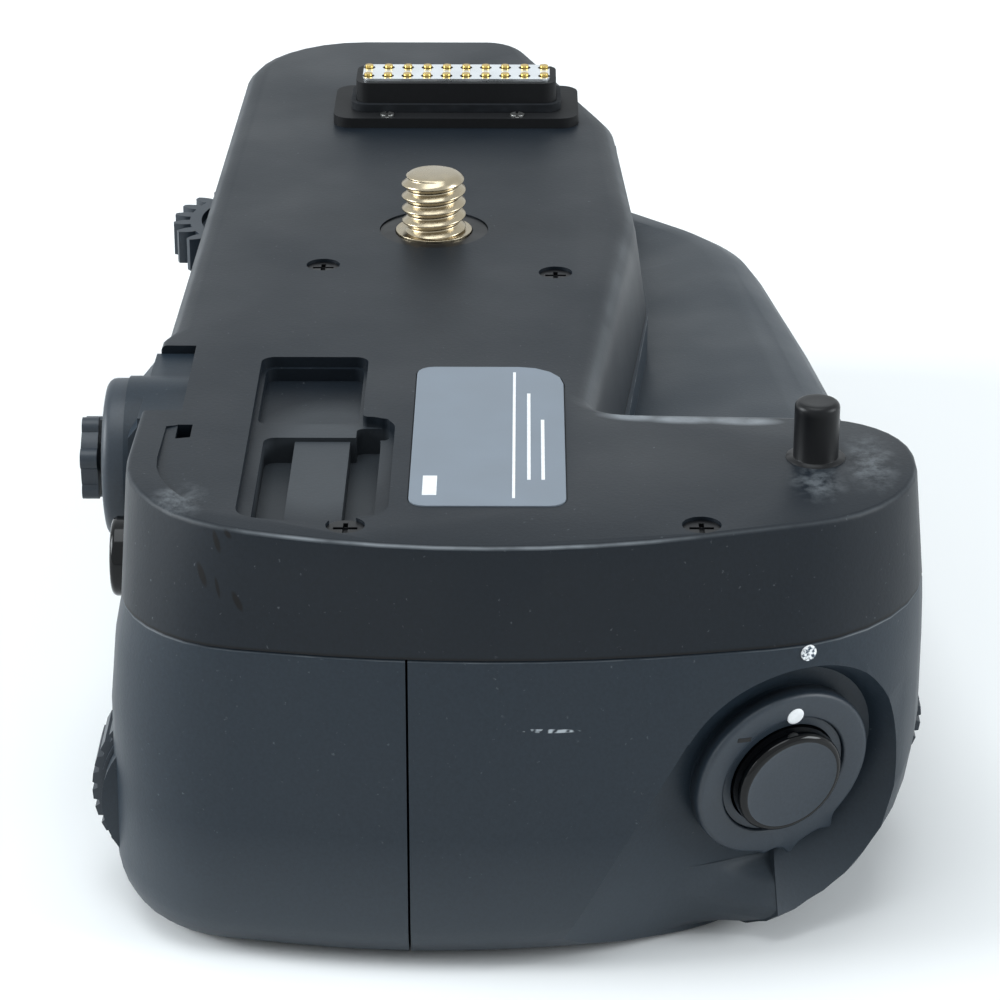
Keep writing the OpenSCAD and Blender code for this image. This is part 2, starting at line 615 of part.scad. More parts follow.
module top_cover() color("#3a3f45") {
    difference() {
        union() {
            difference() {
                cover_form();
                slab(inset_all(cover_corners, skirt_t), seam_z - over, under_z);
            }
            box([cap_x - 1.4, cap_y - 1, body_height - cap_depth - 1.2],
                [cap_x + cap_l + 1, cap_y + cap_w + 1, under_z + 0.1]);
            for (p = bracket_posts) translate([p[0], p[1], bracket_top])
                cylinder(r = 1.9, h = under_z - bracket_top + 0.1);
            for (p = end_posts) translate([p[0], p[1], seam_z])
                cylinder(r = 1.8, h = under_z - seam_z + 0.1);
            for (p = board_posts) translate([p[0], p[1], board_top])
                cylinder(r = 1.8, h = under_z - board_top + 0.1);
            translate([pin_at[0], pin_at[1], under_z - 2.5]) cylinder(d = pin_d + 4, h = 2.6);
            translate([wheel_at[0], wheel_at[1], gear_top + gap]) cylinder(r = 3, h = under_z - gear_top - gap + 0.1);
        }
        panel_space();
        cap_recess();
        crescent();
        slab(inset_all(label_corners, -0.1), body_height - label_t + label_proud, body_height + over, 4);
        for (p = concat(bracket_posts, end_posts)) translate([p[0], p[1], 0]) {
            translate([0, 0, cover_head_z]) cylinder(r = cover_head_r + seat, h = far_out);
            cylinder(r = cover_shank_r + seat, h = far_out);
        }
        translate([screw_at[0], screw_at[1], under_z - over]) cylinder(r = bush_r + seat, h = far_out);
        translate([wheel_at[0], wheel_at[1], 0]) cylinder(r = wheel_axle_r + seat, h = under_z - 0.3);
        translate([pin_at[0], pin_at[1], under_z - 2]) cylinder(r = pin_d / 2 + neck + seat, h = far_out);
        on_connector(-seat, -seat, body_height - flange_in, body_height + over, 2);
        box([connector_x + block_in - seat, connector_y + 3.4 - seat, under_z - over],
            [connector_x + connector_l - block_in + seat, connector_y + connector_w - 3.4 + seat, far_out]);
        translate([wheel_at[0], wheel_at[1], gear_bottom - gap])
            cylinder(r = wheel_pitch + tooth_module + gap, h = gear_t + 2 * gap);
        box([chamber_x - sleeve_t, chamber_y - sleeve_t, 0],
            [shell_end_x, chamber_y + chamber_w + sleeve_t, sleeve_top]);
    }
}

// Half of the shells on one side of the split, without the slice that belongs to the door. The
// pad round the tripod socket reaches past the split and goes with the front half.
module shell_half(front) {
    intersection() {
        shells_form();
        if (front) union() {
            box([-far_out, -far_out, -over], [shell_end_x, split_y - split_gap / 2, seam_z + over]);
            socket_pad_space();
        } else difference() {
            box([-far_out, split_y + split_gap / 2, -over], [shell_end_x, far_out, seam_z + over]);
            socket_pad_space(seat);
        }
    }
}

// Space in the shells for the chamber sleeve, its feet, the tripod socket and the base screws
base_screw_places = [for (x = [chamber_x + 9, shell_end_x - 12], y = [chamber_y + 3.2, chamber_y + chamber_w - 3.2])
    [x, y]];
foot_z = 3.4;
module chamber_space() {
    box([chamber_x - sleeve_t - seat, chamber_y - sleeve_t - seat, chamber_z - sleeve_t - seat],
        [far_out, chamber_y + chamber_w + sleeve_t + seat, sleeve_top + over]);
    for (p = base_screw_places) translate([p[0], p[1], 0]) {
        translate([0, 0, foot_z - seat]) cylinder(r = 2.6 + seat, h = chamber_z - foot_z);
        cylinder(r = 1 + seat, h = foot_z + over);
        translate([0, 0, -over]) cylinder(r = 2 + seat, h = 2.2 + over);
    }
    translate([screw_at[0], screw_at[1], -over]) cylinder(r = socket_d / 2 + seat, h = socket_top + seat + over);
}

// Pad of the front shell round the tripod socket, past the split
module socket_pad_space(room = 0) {
    translate([screw_at[0], screw_at[1], -over]) cylinder(r = socket_d / 2 + 4 + room, h = chamber_z + over);
}

// Scoop round the lock ring: a dished bowl, and a channel with the same slope that leaves it at the
// bottom. The ring stands on a boss in its middle.
scoop_turn = 27.6;
scoop_depth = 0.6;
scoop_slope = 0.7;
bowl_h = 8;
module scoop() {
    low_r = scoop_r - 1.2;
    side = low_r + 0.1;
    difference() {
        translate([0, 0, -scoop_depth]) {
            cylinder(r1 = low_r, r2 = low_r + bowl_h * scoop_slope, h = bowl_h);
            rotate([0, 0, -scoop_turn]) rotate([90, 0, 90]) linear_extrude(far_out) polygon([[-side, 0],
                [low_r * 0.6, 0], [low_r * 0.6, bowl_h], [-side - bowl_h * scoop_slope, bowl_h]]);
        }
        translate([0, 0, -scoop_depth - over]) cylinder(r = ring_d / 2 - 0.3, h = scoop_depth + over);
    }
}

module front_shell() color("#343a41") {
    difference() {
        shell_half(true);
        chamber_space();
        at_shutter() {
            scoop();
            translate([0, 0, -switch_depth - seat]) cylinder(r = bush_out_r + seat, h = far_out);
        }
        translate([sub_dial_x - gap, sub_dial_y, sub_dial_z]) along_x()
            cylinder(d = sub_dial_d + 2 * gap + 0.4, h = sub_dial_w + 2 * gap);
        translate([sub_dial_x - axle_reach - seat, sub_dial_y, sub_dial_z]) along_x()
            cylinder(d = axle_d + 2 * seat, h = sub_dial_w + 2 * axle_reach + 2 * seat);
        for (p = end_posts) translate([p[0], p[1], seam_z - 6]) cylinder(r = cover_shank_r + seat, h = far_out);
        box([near_x + 16, -13, 4], [chamber_x - 4, split_y + over, seam_z + over]);
        box([chamber_x, chamber_y - 15, 10], [turn_x - 10, chamber_y - 4, seam_z - 12]);
    }
}

// Rubber on the underside of the hand grip: a patch of the foot's rounding, between the stations
// rubber_from and rubber_to and the steps rubber_low and rubber_high
rubber_from = arc_n * 2 + 2 + 3;
rubber_to = rubber_from + 7;
rubber_low = 2;
rubber_high = 5;
function foot_patch(depth) = let (ring = outline(inset_all(wall_corners, depth)),
        foot = foot_outline(depth),
        rise = foot_rise(ring))
    [for (k = [rubber_low:rubber_high], i = [rubber_from:rubber_to])
        let (p = lerp(foot[i], ring[i], sin(90 * k / foot_n)))
        [p[0], p[1], depth + rise[i] * (1 - cos(90 * k / foot_n))]];

module grip_rubber() color("#26292d") {
    w = rubber_to - rubber_from + 1;
    h = rubber_high - rubber_low + 1;
    n = w * h;
    quads = [for (j = [0:h - 2], i = [0:w - 2]) [j * w + i, j * w + i + 1, (j + 1) * w + i + 1, (j + 1) * w + i]];
    rim = concat([for (i = [0:w - 1]) i], [for (j = [1:h - 1]) j * w + w - 1],
        [for (i = [w - 2:-1:0]) (h - 1) * w + i], [for (j = [h - 2:-1:1]) j * w]);
    m = len(rim);
    polyhedron(concat(foot_patch(-rubber_proud), foot_patch(-seat)), concat(
        [for (q = quads) each [[q[0], q[2], q[1]], [q[0], q[3], q[2]]]],
        [for (q = quads) each [[q[0] + n, q[1] + n, q[2] + n], [q[0] + n, q[2] + n, q[3] + n]]],
        [for (i = [0:m - 1]) let (a = rim[i], b = rim[(i + 1) % m])
            each [[a, b, b + n], [a, b + n, a + n]]]));
}

// Thumb rest on the rear wall
thumb_x = near_x + 50;
thumb_z = seam_z - 5 - thumb_height;
thumb_proud = 0.7;
module thumb_patch(z0, z1, shrink) {
    at_rear(thumb_x, thumb_z) rotate([0, rear_taper, 0])
        rounded_plate([shrink, -thumb_height + shrink, z0], [thumb_length - 2 * shrink, thumb_height - 2 * shrink, z1 - z0], 4);
}

module thumb_rubber() color("#26292d") {
    thumb_patch(-rubber_t, thumb_proud / 2, 0);
    thumb_patch(thumb_proud / 2, thumb_proud, thumb_proud / 2);
}

// Seat of the selector's base: a collar on the panel
collar_r = selector_base_d / 2 + 0.2;
collar_y = rear_line(selector_x) + 2.1;
hood_back = 0.6;
puck_r = selector_base_d / 2 - 0.8;
puck_y = rear_line(selector_x) - 2.4;

// Cheeks that guard the main dial on both sides
cheek_t = 1.9;
cheek_in = 1.1;

module rear_shell() color("#343a41") {
    difference() {
        union() {
            shell_half(false);
            intersection() {
                slab(inset_all(cover_corners, -rear_draft), seam_z - over / 2, housing_top);
                translate([0, 0, -seat]) panel_space();
            }
            translate([selector_x, puck_y - 1, selector_z]) along_y() cylinder(r = collar_r, h = collar_y - puck_y + 1);
            translate([selector_x - collar_r, 0, 0]) rotate([90, 0, 90]) linear_extrude(2 * collar_r)
                polygon([[puck_y - 1, seam_z], [collar_y - hood_back, seam_z], [collar_y - hood_back, housing_top - 2],
                    [collar_y - hood_back - 1.6, housing_top], [puck_y - 1, housing_top]]);
            translate([main_dial_x - cheek_t - gap, main_dial_y, main_dial_z]) along_x()
                cylinder(d = main_dial_d - 2 * cheek_in, h = main_dial_w + 2 * (cheek_t + gap));
        }
        chamber_space();
        thumb_patch(-rubber_t - seat, over, -seat);
        translate([main_dial_x - gap, main_dial_y, main_dial_z]) along_x()
            cylinder(d = main_dial_d + 2 * gap + 0.4, h = main_dial_w + 2 * gap);
        translate([main_dial_x - axle_reach - seat, main_dial_y, main_dial_z]) along_x()
            cylinder(d = axle_d + 2 * seat, h = main_dial_w + 2 * axle_reach + 2 * seat);
        translate([selector_x, puck_y - seat, selector_z]) along_y() cylinder(r = puck_r + seat, h = far_out);
        translate([thumb_button_x, 0, thumb_button_z]) along_y() {
            translate([0, 0, thumb_switch_y]) cylinder(d = thumb_button_d + 2 * thumb_flange + 2 * gap,
                h = thumb_flange_y - thumb_switch_y + thumb_flange_t + gap);
            translate([0, 0, thumb_switch_y]) cylinder(d = thumb_button_d + 4 * play, h = far_out);
        }
        for (p = end_posts) translate([p[0], p[1], seam_z - 6]) cylinder(r = cover_shank_r + seat, h = far_out);
        box([near_x + 30, split_y - over, 4], [chamber_x - 4, rear_line(chamber_x) - 4, seam_z + over]);
    }
}

module chamber_sleeve() color("#4a4f55") {
    low = [chamber_x - sleeve_t, chamber_y - sleeve_t, chamber_z - sleeve_t];
    high = [shell_end_x, chamber_y + chamber_w + sleeve_t, sleeve_top];
    difference() {
        union() {
            box(low, high);
            for (p = base_screw_places) translate([p[0], p[1], foot_z])
                cylinder(r = 2.6, h = chamber_z - sleeve_t - foot_z + 0.1);
        }
        box([chamber_x, chamber_y, chamber_z], [far_out, chamber_y + chamber_w, chamber_z + chamber_h]);
        for (p = base_screw_places) translate([p[0], p[1], 0]) cylinder(r = 1 + seat, h = chamber_z - sleeve_t);
    }
}

socket_top = chamber_z - sleeve_t - 0.2;
socket_depth = 5;
module tripod_socket() color("#9a9a98") {
    translate([screw_at[0], screw_at[1], 0.2]) difference() {
        cylinder(d = socket_d, h = socket_top - 0.2);
        translate([0, 0, -over]) cylinder(d = screw_d, h = socket_depth + over);
    }
}

module base_screws() color("#2b2d30") {
    for (p = base_screw_places) translate([p[0], p[1], 0]) difference() {
        union() {
            translate([0, 0, 0.6]) cylinder(r = 2, h = 1.6);
            cylinder_from(1, 2.1, chamber_z - sleeve_t - 0.3);
        }
        translate([0, 0, 0.6 - over]) cylinder(r = 0.9, h = over + 0.8, $fn = 6);
    }
}

module cylinder_from(r, z0, z1) {
    translate([0, 0, z0]) cylinder(r = r, h = z1 - z0);
}

module cover_screws() color("#26282b") {
    for (p = concat(bracket_posts, end_posts)) translate([p[0], p[1], 0]) difference() {
        low = p[0] > lobe_x ? bracket_bottom + 0.2 : seam_z - 5.8;
        union() {
            cylinder_from(cover_head_r, cover_head_z, cover_head_z + 0.8);
            cylinder_from(cover_shank_r, low, cover_head_z + 0.1);
        }
        translate([0, 0, cover_head_z + 0.4]) for (t = [0, 90]) rotate([0, 0, t])
            translate([-1, -0.2, 0]) cube([2, 0.4, over]);
    }
}

// Shutter release, in the facet's frame
bush_out_r = button_d / 2 + 0.85;
bush_in_r = button_d / 2 + 2 * play;
stem_r = 1.5;
switch_depth = 10.4;
switch_h = 2.2;
stem_z = switch_h - switch_depth + button_travel + 0.2;
module shutter_button() color("#1d2024") {
    top = ring_h + button_proud;
    rim = 0.7;
    at_shutter() rotate_extrude() polygon(concat([[0, stem_z], [stem_r, stem_z], [stem_r, -3.5],
        [button_d / 2, -3.5]], [for (i = [0:6]) [button_d / 2 - rim + rim * cos(15 * i), top - rim + rim * sin(15 * i)]],
        [[button_d / 2 - 1.2, top - 0.08], [0, top - 0.3]]));
}

horn_angles = [16, 43];
horn_r = ring_d / 2 + 1.3;
module lock_ring() color("#2c3036") {
    bore = bush_out_r + play;
    at_shutter() translate([0, 0, gap / 2]) difference() {
        union() {
            rotate_extrude() polygon([[bore, 0], [ring_d / 2, 0], [ring_d / 2, ring_h - 0.9],
                [ring_d / 2 - 0.2, ring_h - 0.4], [ring_d / 2 - 0.7, ring_h - gap / 2], [bore, ring_h - gap / 2]]);
            linear_extrude(ring_h - 0.6) polygon(concat([[bore + 1, 0]],
                [for (a = [4, 11]) (ring_d / 2 - 0.2) * [cos(a), sin(a)]],
                [for (a = [horn_angles[0] - 1, horn_angles[0] + 2]) horn_r * [cos(a), sin(a)]],
                [for (a = [23, 29.5, 36]) (ring_d / 2 + 0.1) * [cos(a), sin(a)]],
                [for (a = [horn_angles[1] - 2, horn_angles[1] + 1]) horn_r * [cos(a), sin(a)]],
                [for (a = [48, 57]) (ring_d / 2 - 0.2) * [cos(a), sin(a)]], [[0, bore + 1]]));
        }
        translate([0, 0, -over]) cylinder(r = bore, h = ring_h + 2 * over);
    }
}

module shutter_bush() color("#17191c") {
    at_shutter() translate([0, 0, -8]) tube(bush_out_r, bush_in_r, 8 + ring_h - 0.3);
}

module shutter_switch() color("#3f6b4c") {
    at_shutter() {
        translate([0, 0, -switch_depth]) cylinder(r = bush_out_r - 0.3, h = 1);
        translate([-3, -3, 1 - switch_depth - 0.01]) cube([6, 6, switch_h - 1]);
        translate([0, 0, -switch_depth + 0.9]) tube(bush_out_r - 0.3, bush_in_r - 0.2, switch_depth - 8 - 0.9);
    }
}

// Thumb button, with its flange behind the wall
thumb_flange = 0.7;
thumb_flange_t = 0.8;
thumb_face_y = rear_line(thumb_button_x) + 2.1;
thumb_flange_y = thumb_face_y - 4.6;
thumb_switch_y = thumb_flange_y - thumb_travel - 2.4;
module thumb_button() color("#1d2024") {
    rim = 0.5;
    r = thumb_button_d / 2;
    translate([thumb_button_x, 0, thumb_button_z]) along_y() rotate_extrude()
        polygon(concat([[0, thumb_flange_y], [r + thumb_flange, thumb_flange_y],
            [r + thumb_flange, thumb_flange_y + thumb_flange_t], [r, thumb_flange_y + thumb_flange_t]],
            [for (i = [0:6]) [r - rim + rim * cos(15 * i), thumb_face_y - rim + rim * sin(15 * i)]],
            [[0, thumb_face_y + 0.15]]));
}

module thumb_switch() color("#3f6b4c") {
    translate([thumb_button_x, thumb_switch_y, thumb_button_z]) along_y() {
        cylinder(d = thumb_button_d + 2 * thumb_flange, h = 1);
        translate([-2.5, -2.5, 0.99]) cube([5, 5, 1.1]);
    }
}

// Multi selector: a base with a bell-shaped hole, a gimbal ring and a lobed knob on a stem
pivot_y = collar_y - 1.6;
base_face_y = collar_y + 2;
gimbal_out = 3.3;
gimbal_in = 2.1;
bell_r = 3.9;
module at_selector(y = 0) {
    translate([selector_x, y, selector_z]) along_y() children();
}

module selector_base() color("#1f2226") {
    at_selector() difference() {
        rotate_extrude() polygon(concat([[0, puck_y], [puck_r, puck_y], [puck_r, collar_y],
            [selector_base_d / 2, collar_y], [selector_base_d / 2, base_face_y - 0.8]],
            [for (i = [1:4]) [selector_base_d / 2 - 0.8 + 0.8 * cos(22.5 * i), base_face_y - 0.8 + 0.8 * sin(22.5 * i)]],
            [[0, base_face_y]]));
        cylinder_from(bell_r, pivot_y - 2, pivot_y + 2.2);
        cylinder_from(1.3 + (base_face_y - pivot_y + 0.7) * tan(selector_tilt) + 3 * gap, pivot_y, far_out);
        translate([0, 0, pivot_y]) rotate([90, 0, 0]) translate([0, 0, -bell_r - 0.8])
            cylinder(r = 0.5 + play, h = 2 * bell_r + 1.6);
    }
}

module selector_gimbal() color("#8a8c8e") {
    at_selector(pivot_y) difference() {
        union() {
            translate([0, 0, -0.8]) tube(gimbal_out, gimbal_in, 1.6);
            for (s = [0, 1]) mirror([0, s, 0]) rotate([-90, 0, 0]) cylinder_from(0.5, gimbal_out - 0.3, bell_r + 0.6);
        }
        rotate([0, 90, 0]) translate([0, 0, -far_out / 2]) cylinder(r = 0.45 + play, h = far_out);
    }
}

module multi_selector() color("#1d2024") {
    cap = base_face_y + 0.7 - pivot_y;
    at_selector(pivot_y) {
        cylinder_from(1.3, -1.2, cap + 0.1);
        rotate([0, 90, 0]) translate([0, 0, -gimbal_out + 0.2]) cylinder(r = 0.45, h = 2 * gimbal_out - 0.4);
        cylinder_from(selector_d / 2 - 0.7, cap, cap + 1.5);
        for (k = [0:selector_lobes - 1]) rotate([0, 0, 360 * (k + 0.35) / selector_lobes])
            translate([selector_d / 2 - 0.95, 0, 0]) cylinder_from(0.95, cap, cap + 1.5);
    }
}

// Command dials and their axles, along X
axle_reach = 3;
module dial(at, d, w, grooves) {
    translate(at) along_x() difference() {
        union() {
            translate([0, 0, 0.5]) linear_extrude(w - 1) polygon(grooved_ring(d / 2, grooves, 0.45));
            cylinder(d = d - 1.6, h = w);
        }
        translate([0, 0, -over]) cylinder(d = axle_d + 2 * play, h = w + 2 * over);
        for (z = [-over, w - 0.8]) translate([0, 0, z]) tube(d / 2 - 2, axle_d / 2 + 1.4, over + 0.8);
    }
}

module dial_axle(at, w) {
    translate([at[0] - axle_reach, at[1], at[2]]) along_x() cylinder(d = axle_d, h = w + 2 * axle_reach);
}

main_dial_at = [main_dial_x, main_dial_y, main_dial_z];
sub_dial_at = [sub_dial_x, sub_dial_y, sub_dial_z];

module main_dial() color("#202327") dial(main_dial_at, main_dial_d, main_dial_w, main_dial_grooves);

module main_dial_axle() color("#a8a8a6") dial_axle(main_dial_at, main_dial_w);

module sub_dial() color("#202327") dial(sub_dial_at, sub_dial_d, sub_dial_w, sub_dial_grooves);

module sub_dial_axle() color("#a8a8a6") dial_axle(sub_dial_at, sub_dial_w);

// Attachment wheel and mounting screw, geared to each other
wheel_axle_r = 1.5;
bush_r = screw_d / 2 + 2.2;
journal_r = 2.5;
// Neck that the screw and the guide pin have in the plate
neck = 0.6;
neck_h = 0.1;
module attachment_wheel() color("#1f2226") {
    translate([wheel_at[0], wheel_at[1], gear_bottom]) difference() {
        rotate([0, 0, wheel_bearing + 180 + 180 / wheel_teeth]) linear_extrude(gear_t) polygon(gear_ring(wheel_teeth));
        translate([0, 0, -over]) cylinder(r = wheel_axle_r + play, h = gear_t + 2 * over);
        for (z = [-over, gear_t - 0.8]) translate([0, 0, z]) tube(wheel_pitch - 2.2, 3, over + 0.8);
    }
}

module wheel_axle() color("#a8a8a6") {
    translate([wheel_at[0], wheel_at[1], 0]) cylinder_from(wheel_axle_r, bracket_bottom + 0.1, under_z - 0.4);
}

module mounting_screw() color("#b8b4a8") {
    top = body_height + screw_h;
    dome = 1.2;
    r = screw_d / 2;
    translate([screw_at[0], screw_at[1], 0]) {
        cylinder_from(journal_r, bracket_bottom, gear_bottom + 0.1);
        rotate([0, 0, wheel_bearing]) translate([0, 0, gear_bottom]) linear_extrude(gear_t) polygon(gear_ring(screw_teeth));
        cylinder_from(r + 1.2, gear_top - 0.1, under_z - gap);
        cylinder_from(r + neck, under_z - gap - 0.1, body_height + neck_h);
        cylinder_from(r, body_height, top - dome);
        translate([0, 0, top - dome]) rotate_extrude() polygon(concat([[0, 0]],
            [for (i = [0:6]) [r - dome + dome * cos(15 * i), dome * sin(15 * i)]], [[0, dome]]));
    }
}

module screw_bush() color("#6f7072") {
    translate([screw_at[0], screw_at[1], under_z]) tube(bush_r, screw_d / 2 + neck + play, plate_t - 0.15);
}

// Steel bracket under the gears, hung from the plate by two posts and the wheel's axle
module gear_bracket() color("#8e9092") {
    p = bracket_posts;
    difference() {
        slab([[p[1][0] - 3, p[1][1] - 3, 3], [screw_at[0] + 6, p[1][1] - 1, 5],
            [wheel_at[0] + 5, wheel_at[1] - 6, 5], [wheel_at[0] + 4, wheel_at[1] + 4, 3], [p[0][0] - 3, p[0][1] + 4, 3]],
            bracket_bottom, bracket_top);
        translate([screw_at[0], screw_at[1], 0]) cylinder(r = journal_r + play, h = far_out);
        translate([wheel_at[0], wheel_at[1], 0]) cylinder(r = wheel_axle_r + seat, h = far_out);
        for (q = p) translate([q[0], q[1], 0]) cylinder(r = cover_shank_r + seat, h = far_out);
    }
}

// Connector: a flanged block through the plate, with a bright contact strip
flange_t = 1.1;
flange_in = 0.3;
block_in = 2.6;
strip_t = 0.3;
gasket_t = 0.9;
contact_r = 0.45;
connector_screw_places = [for (y = [0.25, 0.78]) [connector_x + 1.1, connector_y + connector_w * y]];

// Plate on the connector, inset from the flange's edge by in_x and in_y
module on_connector(in_x, in_y, z0, z1, r) {
    rounded_plate([connector_x + in_x, connector_y + in_y, z0],
        [connector_l - 2 * in_x, connector_w - 2 * in_y, z1 - z0], r);
}

function contact_places() = let (pitch = (connector_w - 7.4) / (connector_contacts - 1))
    [for (s = [-1, 1], k = [0:connector_contacts - 1])
        [connector_x + connector_l / 2 + 1.5 * s, connector_y + 3.7 + pitch * k]];

module connector_block() color("#1a1c1f") {
    difference() {
        union() {
            on_connector(0, 0, body_height - flange_in, body_height + flange_t, 2);
            on_connector(block_in, 2.4, body_height, body_height + connector_h, 1.4);
            on_connector(block_in, 3.4, under_z - 4, body_height + 0.1, 0);
        }
        for (p = contact_places()) translate([p[0], p[1], 0])
            cylinder_from(contact_r + seat, body_height + 1, far_out);
        for (p = connector_screw_places) translate([p[0], p[1], 0])
            cylinder_from(connector_head_r + seat, body_height + flange_t - 0.5, far_out);
    }
}

module connector_strip() color("#c9c5b8") {
    difference() {
        on_connector(block_in + 0.7, 3.1, body_height + connector_h, body_height + connector_h + strip_t, 0.8);
        for (p = contact_places()) translate([p[0], p[1], 0]) cylinder_from(contact_r + 0.2, body_height, far_out);
    }
}

module connector_pins() color("#cdb87a") {
    for (p = contact_places()) translate([p[0], p[1], 0])
        cylinder_from(contact_r, body_height + 1, body_height + connector_h + strip_t + 0.3);
}

module connector_gasket() color("#141517") {
    z = body_height + flange_t;
    difference() {
        on_connector(block_in - 0.55, 1.85, z, z + gasket_t, 1.8);
        on_connector(block_in - seat, 2.4 - seat, z - over, z + 2 * gasket_t, 1.4);
    }
}

connector_head_r = 0.75;
module connector_screws() color("#8b8c8a") {
    for (p = connector_screw_places) translate([p[0], p[1], 0]) difference() {
        cylinder_from(connector_head_r, body_height + flange_t - 0.5, body_height + flange_t + 0.2);
        translate([-connector_head_r, -0.15, body_height + flange_t]) cube([2 * connector_head_r, 0.3, over]);
    }
}

module guide_pin() color("#15181c") {
    r = pin_d / 2;
    low = under_z - 2;
    top = body_height + pin_h;
    translate([pin_at[0], pin_at[1], 0]) rotate_extrude() polygon([[0, low], [r + neck, low],
        [r + neck, body_height + neck_h], [r, body_height + neck_h], [r, top - 0.8], [r - 0.15, top - 0.4],
        [r - 0.7, top], [0, top]]);
}

module label_plate() color("#767e88") {
    z = body_height - label_t + label_proud;
    slab(label_corners, z, z + label_t, 4);
}

// Circuit board under the plate, on four posts
board_t = 1.2;
board_top = body_height - 5.6;
module circuit_board() color("#2f5c44") {
    box([board_x0, board_y0, board_top - board_t], [board_x1, board_y1, board_top]);
    box([board_x0 + 3, board_y0 + 8, board_top - board_t - 1.4], [board_x0 + 11, board_y0 + 16, board_top - board_t + 0.01]);
}

// Battery tray: a bay open at the top, with a solid head behind the door
tray_low = [chamber_x + gap, chamber_y + gap, chamber_z + gap];
tray_high = [shell_end_x + gap, chamber_y + chamber_w - gap, chamber_z + chamber_h - gap];
head_l = 12;
bay_x1 = tray_high[0] - head_l;
latch_r = latch_d / 2;
shaft_r = 2;
bar_x = tray_high[0] - 4.4;
bar_t = 2;
bar_w = 16;
bar_h = 6;
module at_latch(x) {
    translate([x, chamber_mid_y, chamber_mid_z]) along_x() children();
}

module battery_tray() color("#2d3136") {
    difference() {
        box(tray_low, tray_high);
        box([tray_low[0] + tray_t, tray_low[1] + tray_t, tray_low[2] + tray_t],
            [bay_x1, tray_high[1] - tray_t, far_out]);
        at_latch(bar_x - gap) cylinder(r = norm([bar_w, bar_h]) / 2 + gap, h = far_out);
        at_latch(bay_x1 + 4) cylinder(r = shaft_r + play, h = far_out);
        box([tray_low[0] - over, chamber_mid_y - contact_block_w / 2 - gap, tray_low[2] + tray_t + 2],
            [tray_low[0] + tray_t + over, chamber_mid_y + contact_block_w / 2 + gap, far_out]);
    }
}

recess_r = latch_r + 0.8;
recess_d = 2.4;
module tray_door() color("#343a41") {
    difference() {
        intersection() {
            shells_form();
            box([tray_high[0], -far_out, -over], [far_out, far_out, seam_z - gap]);
        }
        at_latch(far_x - recess_d) cylinder(r = recess_r, h = far_out);
        at_latch(tray_high[0] - over) cylinder(r = shaft_r + play, h = far_out);
        seal_frame(-seat);
    }
}

// Seal in a groove of the door, facing the sleeve's mouth
seal_t = 0.8;
module seal_frame(room) {
    low = [tray_high[0] - (room < 0 ? over : 0), chamber_y - 0.4 + room, chamber_z - 0.4 + room];
    high = [tray_high[0] + seal_t - room, chamber_y + chamber_w + 0.4 - room, chamber_z + chamber_h + 0.4 - room];
    wide = 1.6 - 2 * room;
    difference() {
        box(low, high);
        box([low[0] - over, low[1] + wide, low[2] + wide], [high[0] + over, high[1] - wide, high[2] - wide]);
    }
}

module door_seal() color("#101112") seal_frame(0);

// Contacts of the tray's floor and of the chamber's end
contact_block_w = 16;
module tray_contacts() color("#c2a95e") {
    for (y = [-6, 6]) box([tray_low[0] + 8, chamber_mid_y + y - 2, tray_low[2] + tray_t],
        [tray_low[0] + 24, chamber_mid_y + y + 2, tray_low[2] + tray_t + 0.5]);
}

module chamber_contacts() color("#c2a95e") {
    box([chamber_x, chamber_mid_y - contact_block_w / 2, chamber_z + 4.5],
        [chamber_x + 1.2, chamber_mid_y + contact_block_w / 2, chamber_z + 12]);
    for (k = [0:4]) translate([chamber_x + 1, chamber_mid_y + (k - 2) * 3, chamber_z + 8]) along_x()
        cylinder(r = 0.6, h = 1.6);
}

// Latch: a knob in the door's recess, on a shaft that carries the bar
module latch_knob() color("#202327") {
    face = far_x - recess_d + gap;
    at_latch(0) {
        cylinder_from(shaft_r, bay_x1 + 4.3, face + 0.1);
        cylinder_from(latch_r, face, face + 1.6);
    }
    box([face + 1.5, chamber_mid_y - latch_r + 0.8, chamber_mid_z - 1.7],
        [far_x + 0.9, chamber_mid_y + latch_r - 0.8, chamber_mid_z + 1.7]);
}

module latch_bar() color("#9a9c9e") {
    difference() {
        box([bar_x, chamber_mid_y - bar_w / 2, chamber_mid_z - bar_h / 2],
            [bar_x + bar_t, chamber_mid_y + bar_w / 2, chamber_mid_z + bar_h / 2]);
        at_latch(bar_x - over) cylinder(r = shaft_r + seat, h = bar_t + 2 * over);
    }
}

top_cover();
front_shell();
rear_shell();
grip_rubber();
thumb_rubber();
chamber_sleeve();
tripod_socket();
base_screws();
cover_screws();
shutter_button();
lock_ring();
shutter_bush();
shutter_switch();
thumb_button();
thumb_switch();
selector_base();
selector_gimbal();
multi_selector();
main_dial();
main_dial_axle();
sub_dial();
sub_dial_axle();
attachment_wheel();
wheel_axle();
mounting_screw();
screw_bush();
gear_bracket();
connector_block();
connector_strip();
connector_pins();
connector_gasket();
connector_screws();
guide_pin();
label_plate();
circuit_board();
battery_tray();
tray_door();
door_seal();
tray_contacts();
chamber_contacts();
latch_knob();
latch_bar();
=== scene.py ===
"""Looks of the battery grip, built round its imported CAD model. Metres, the CAD model's own frame."""

import json
import math

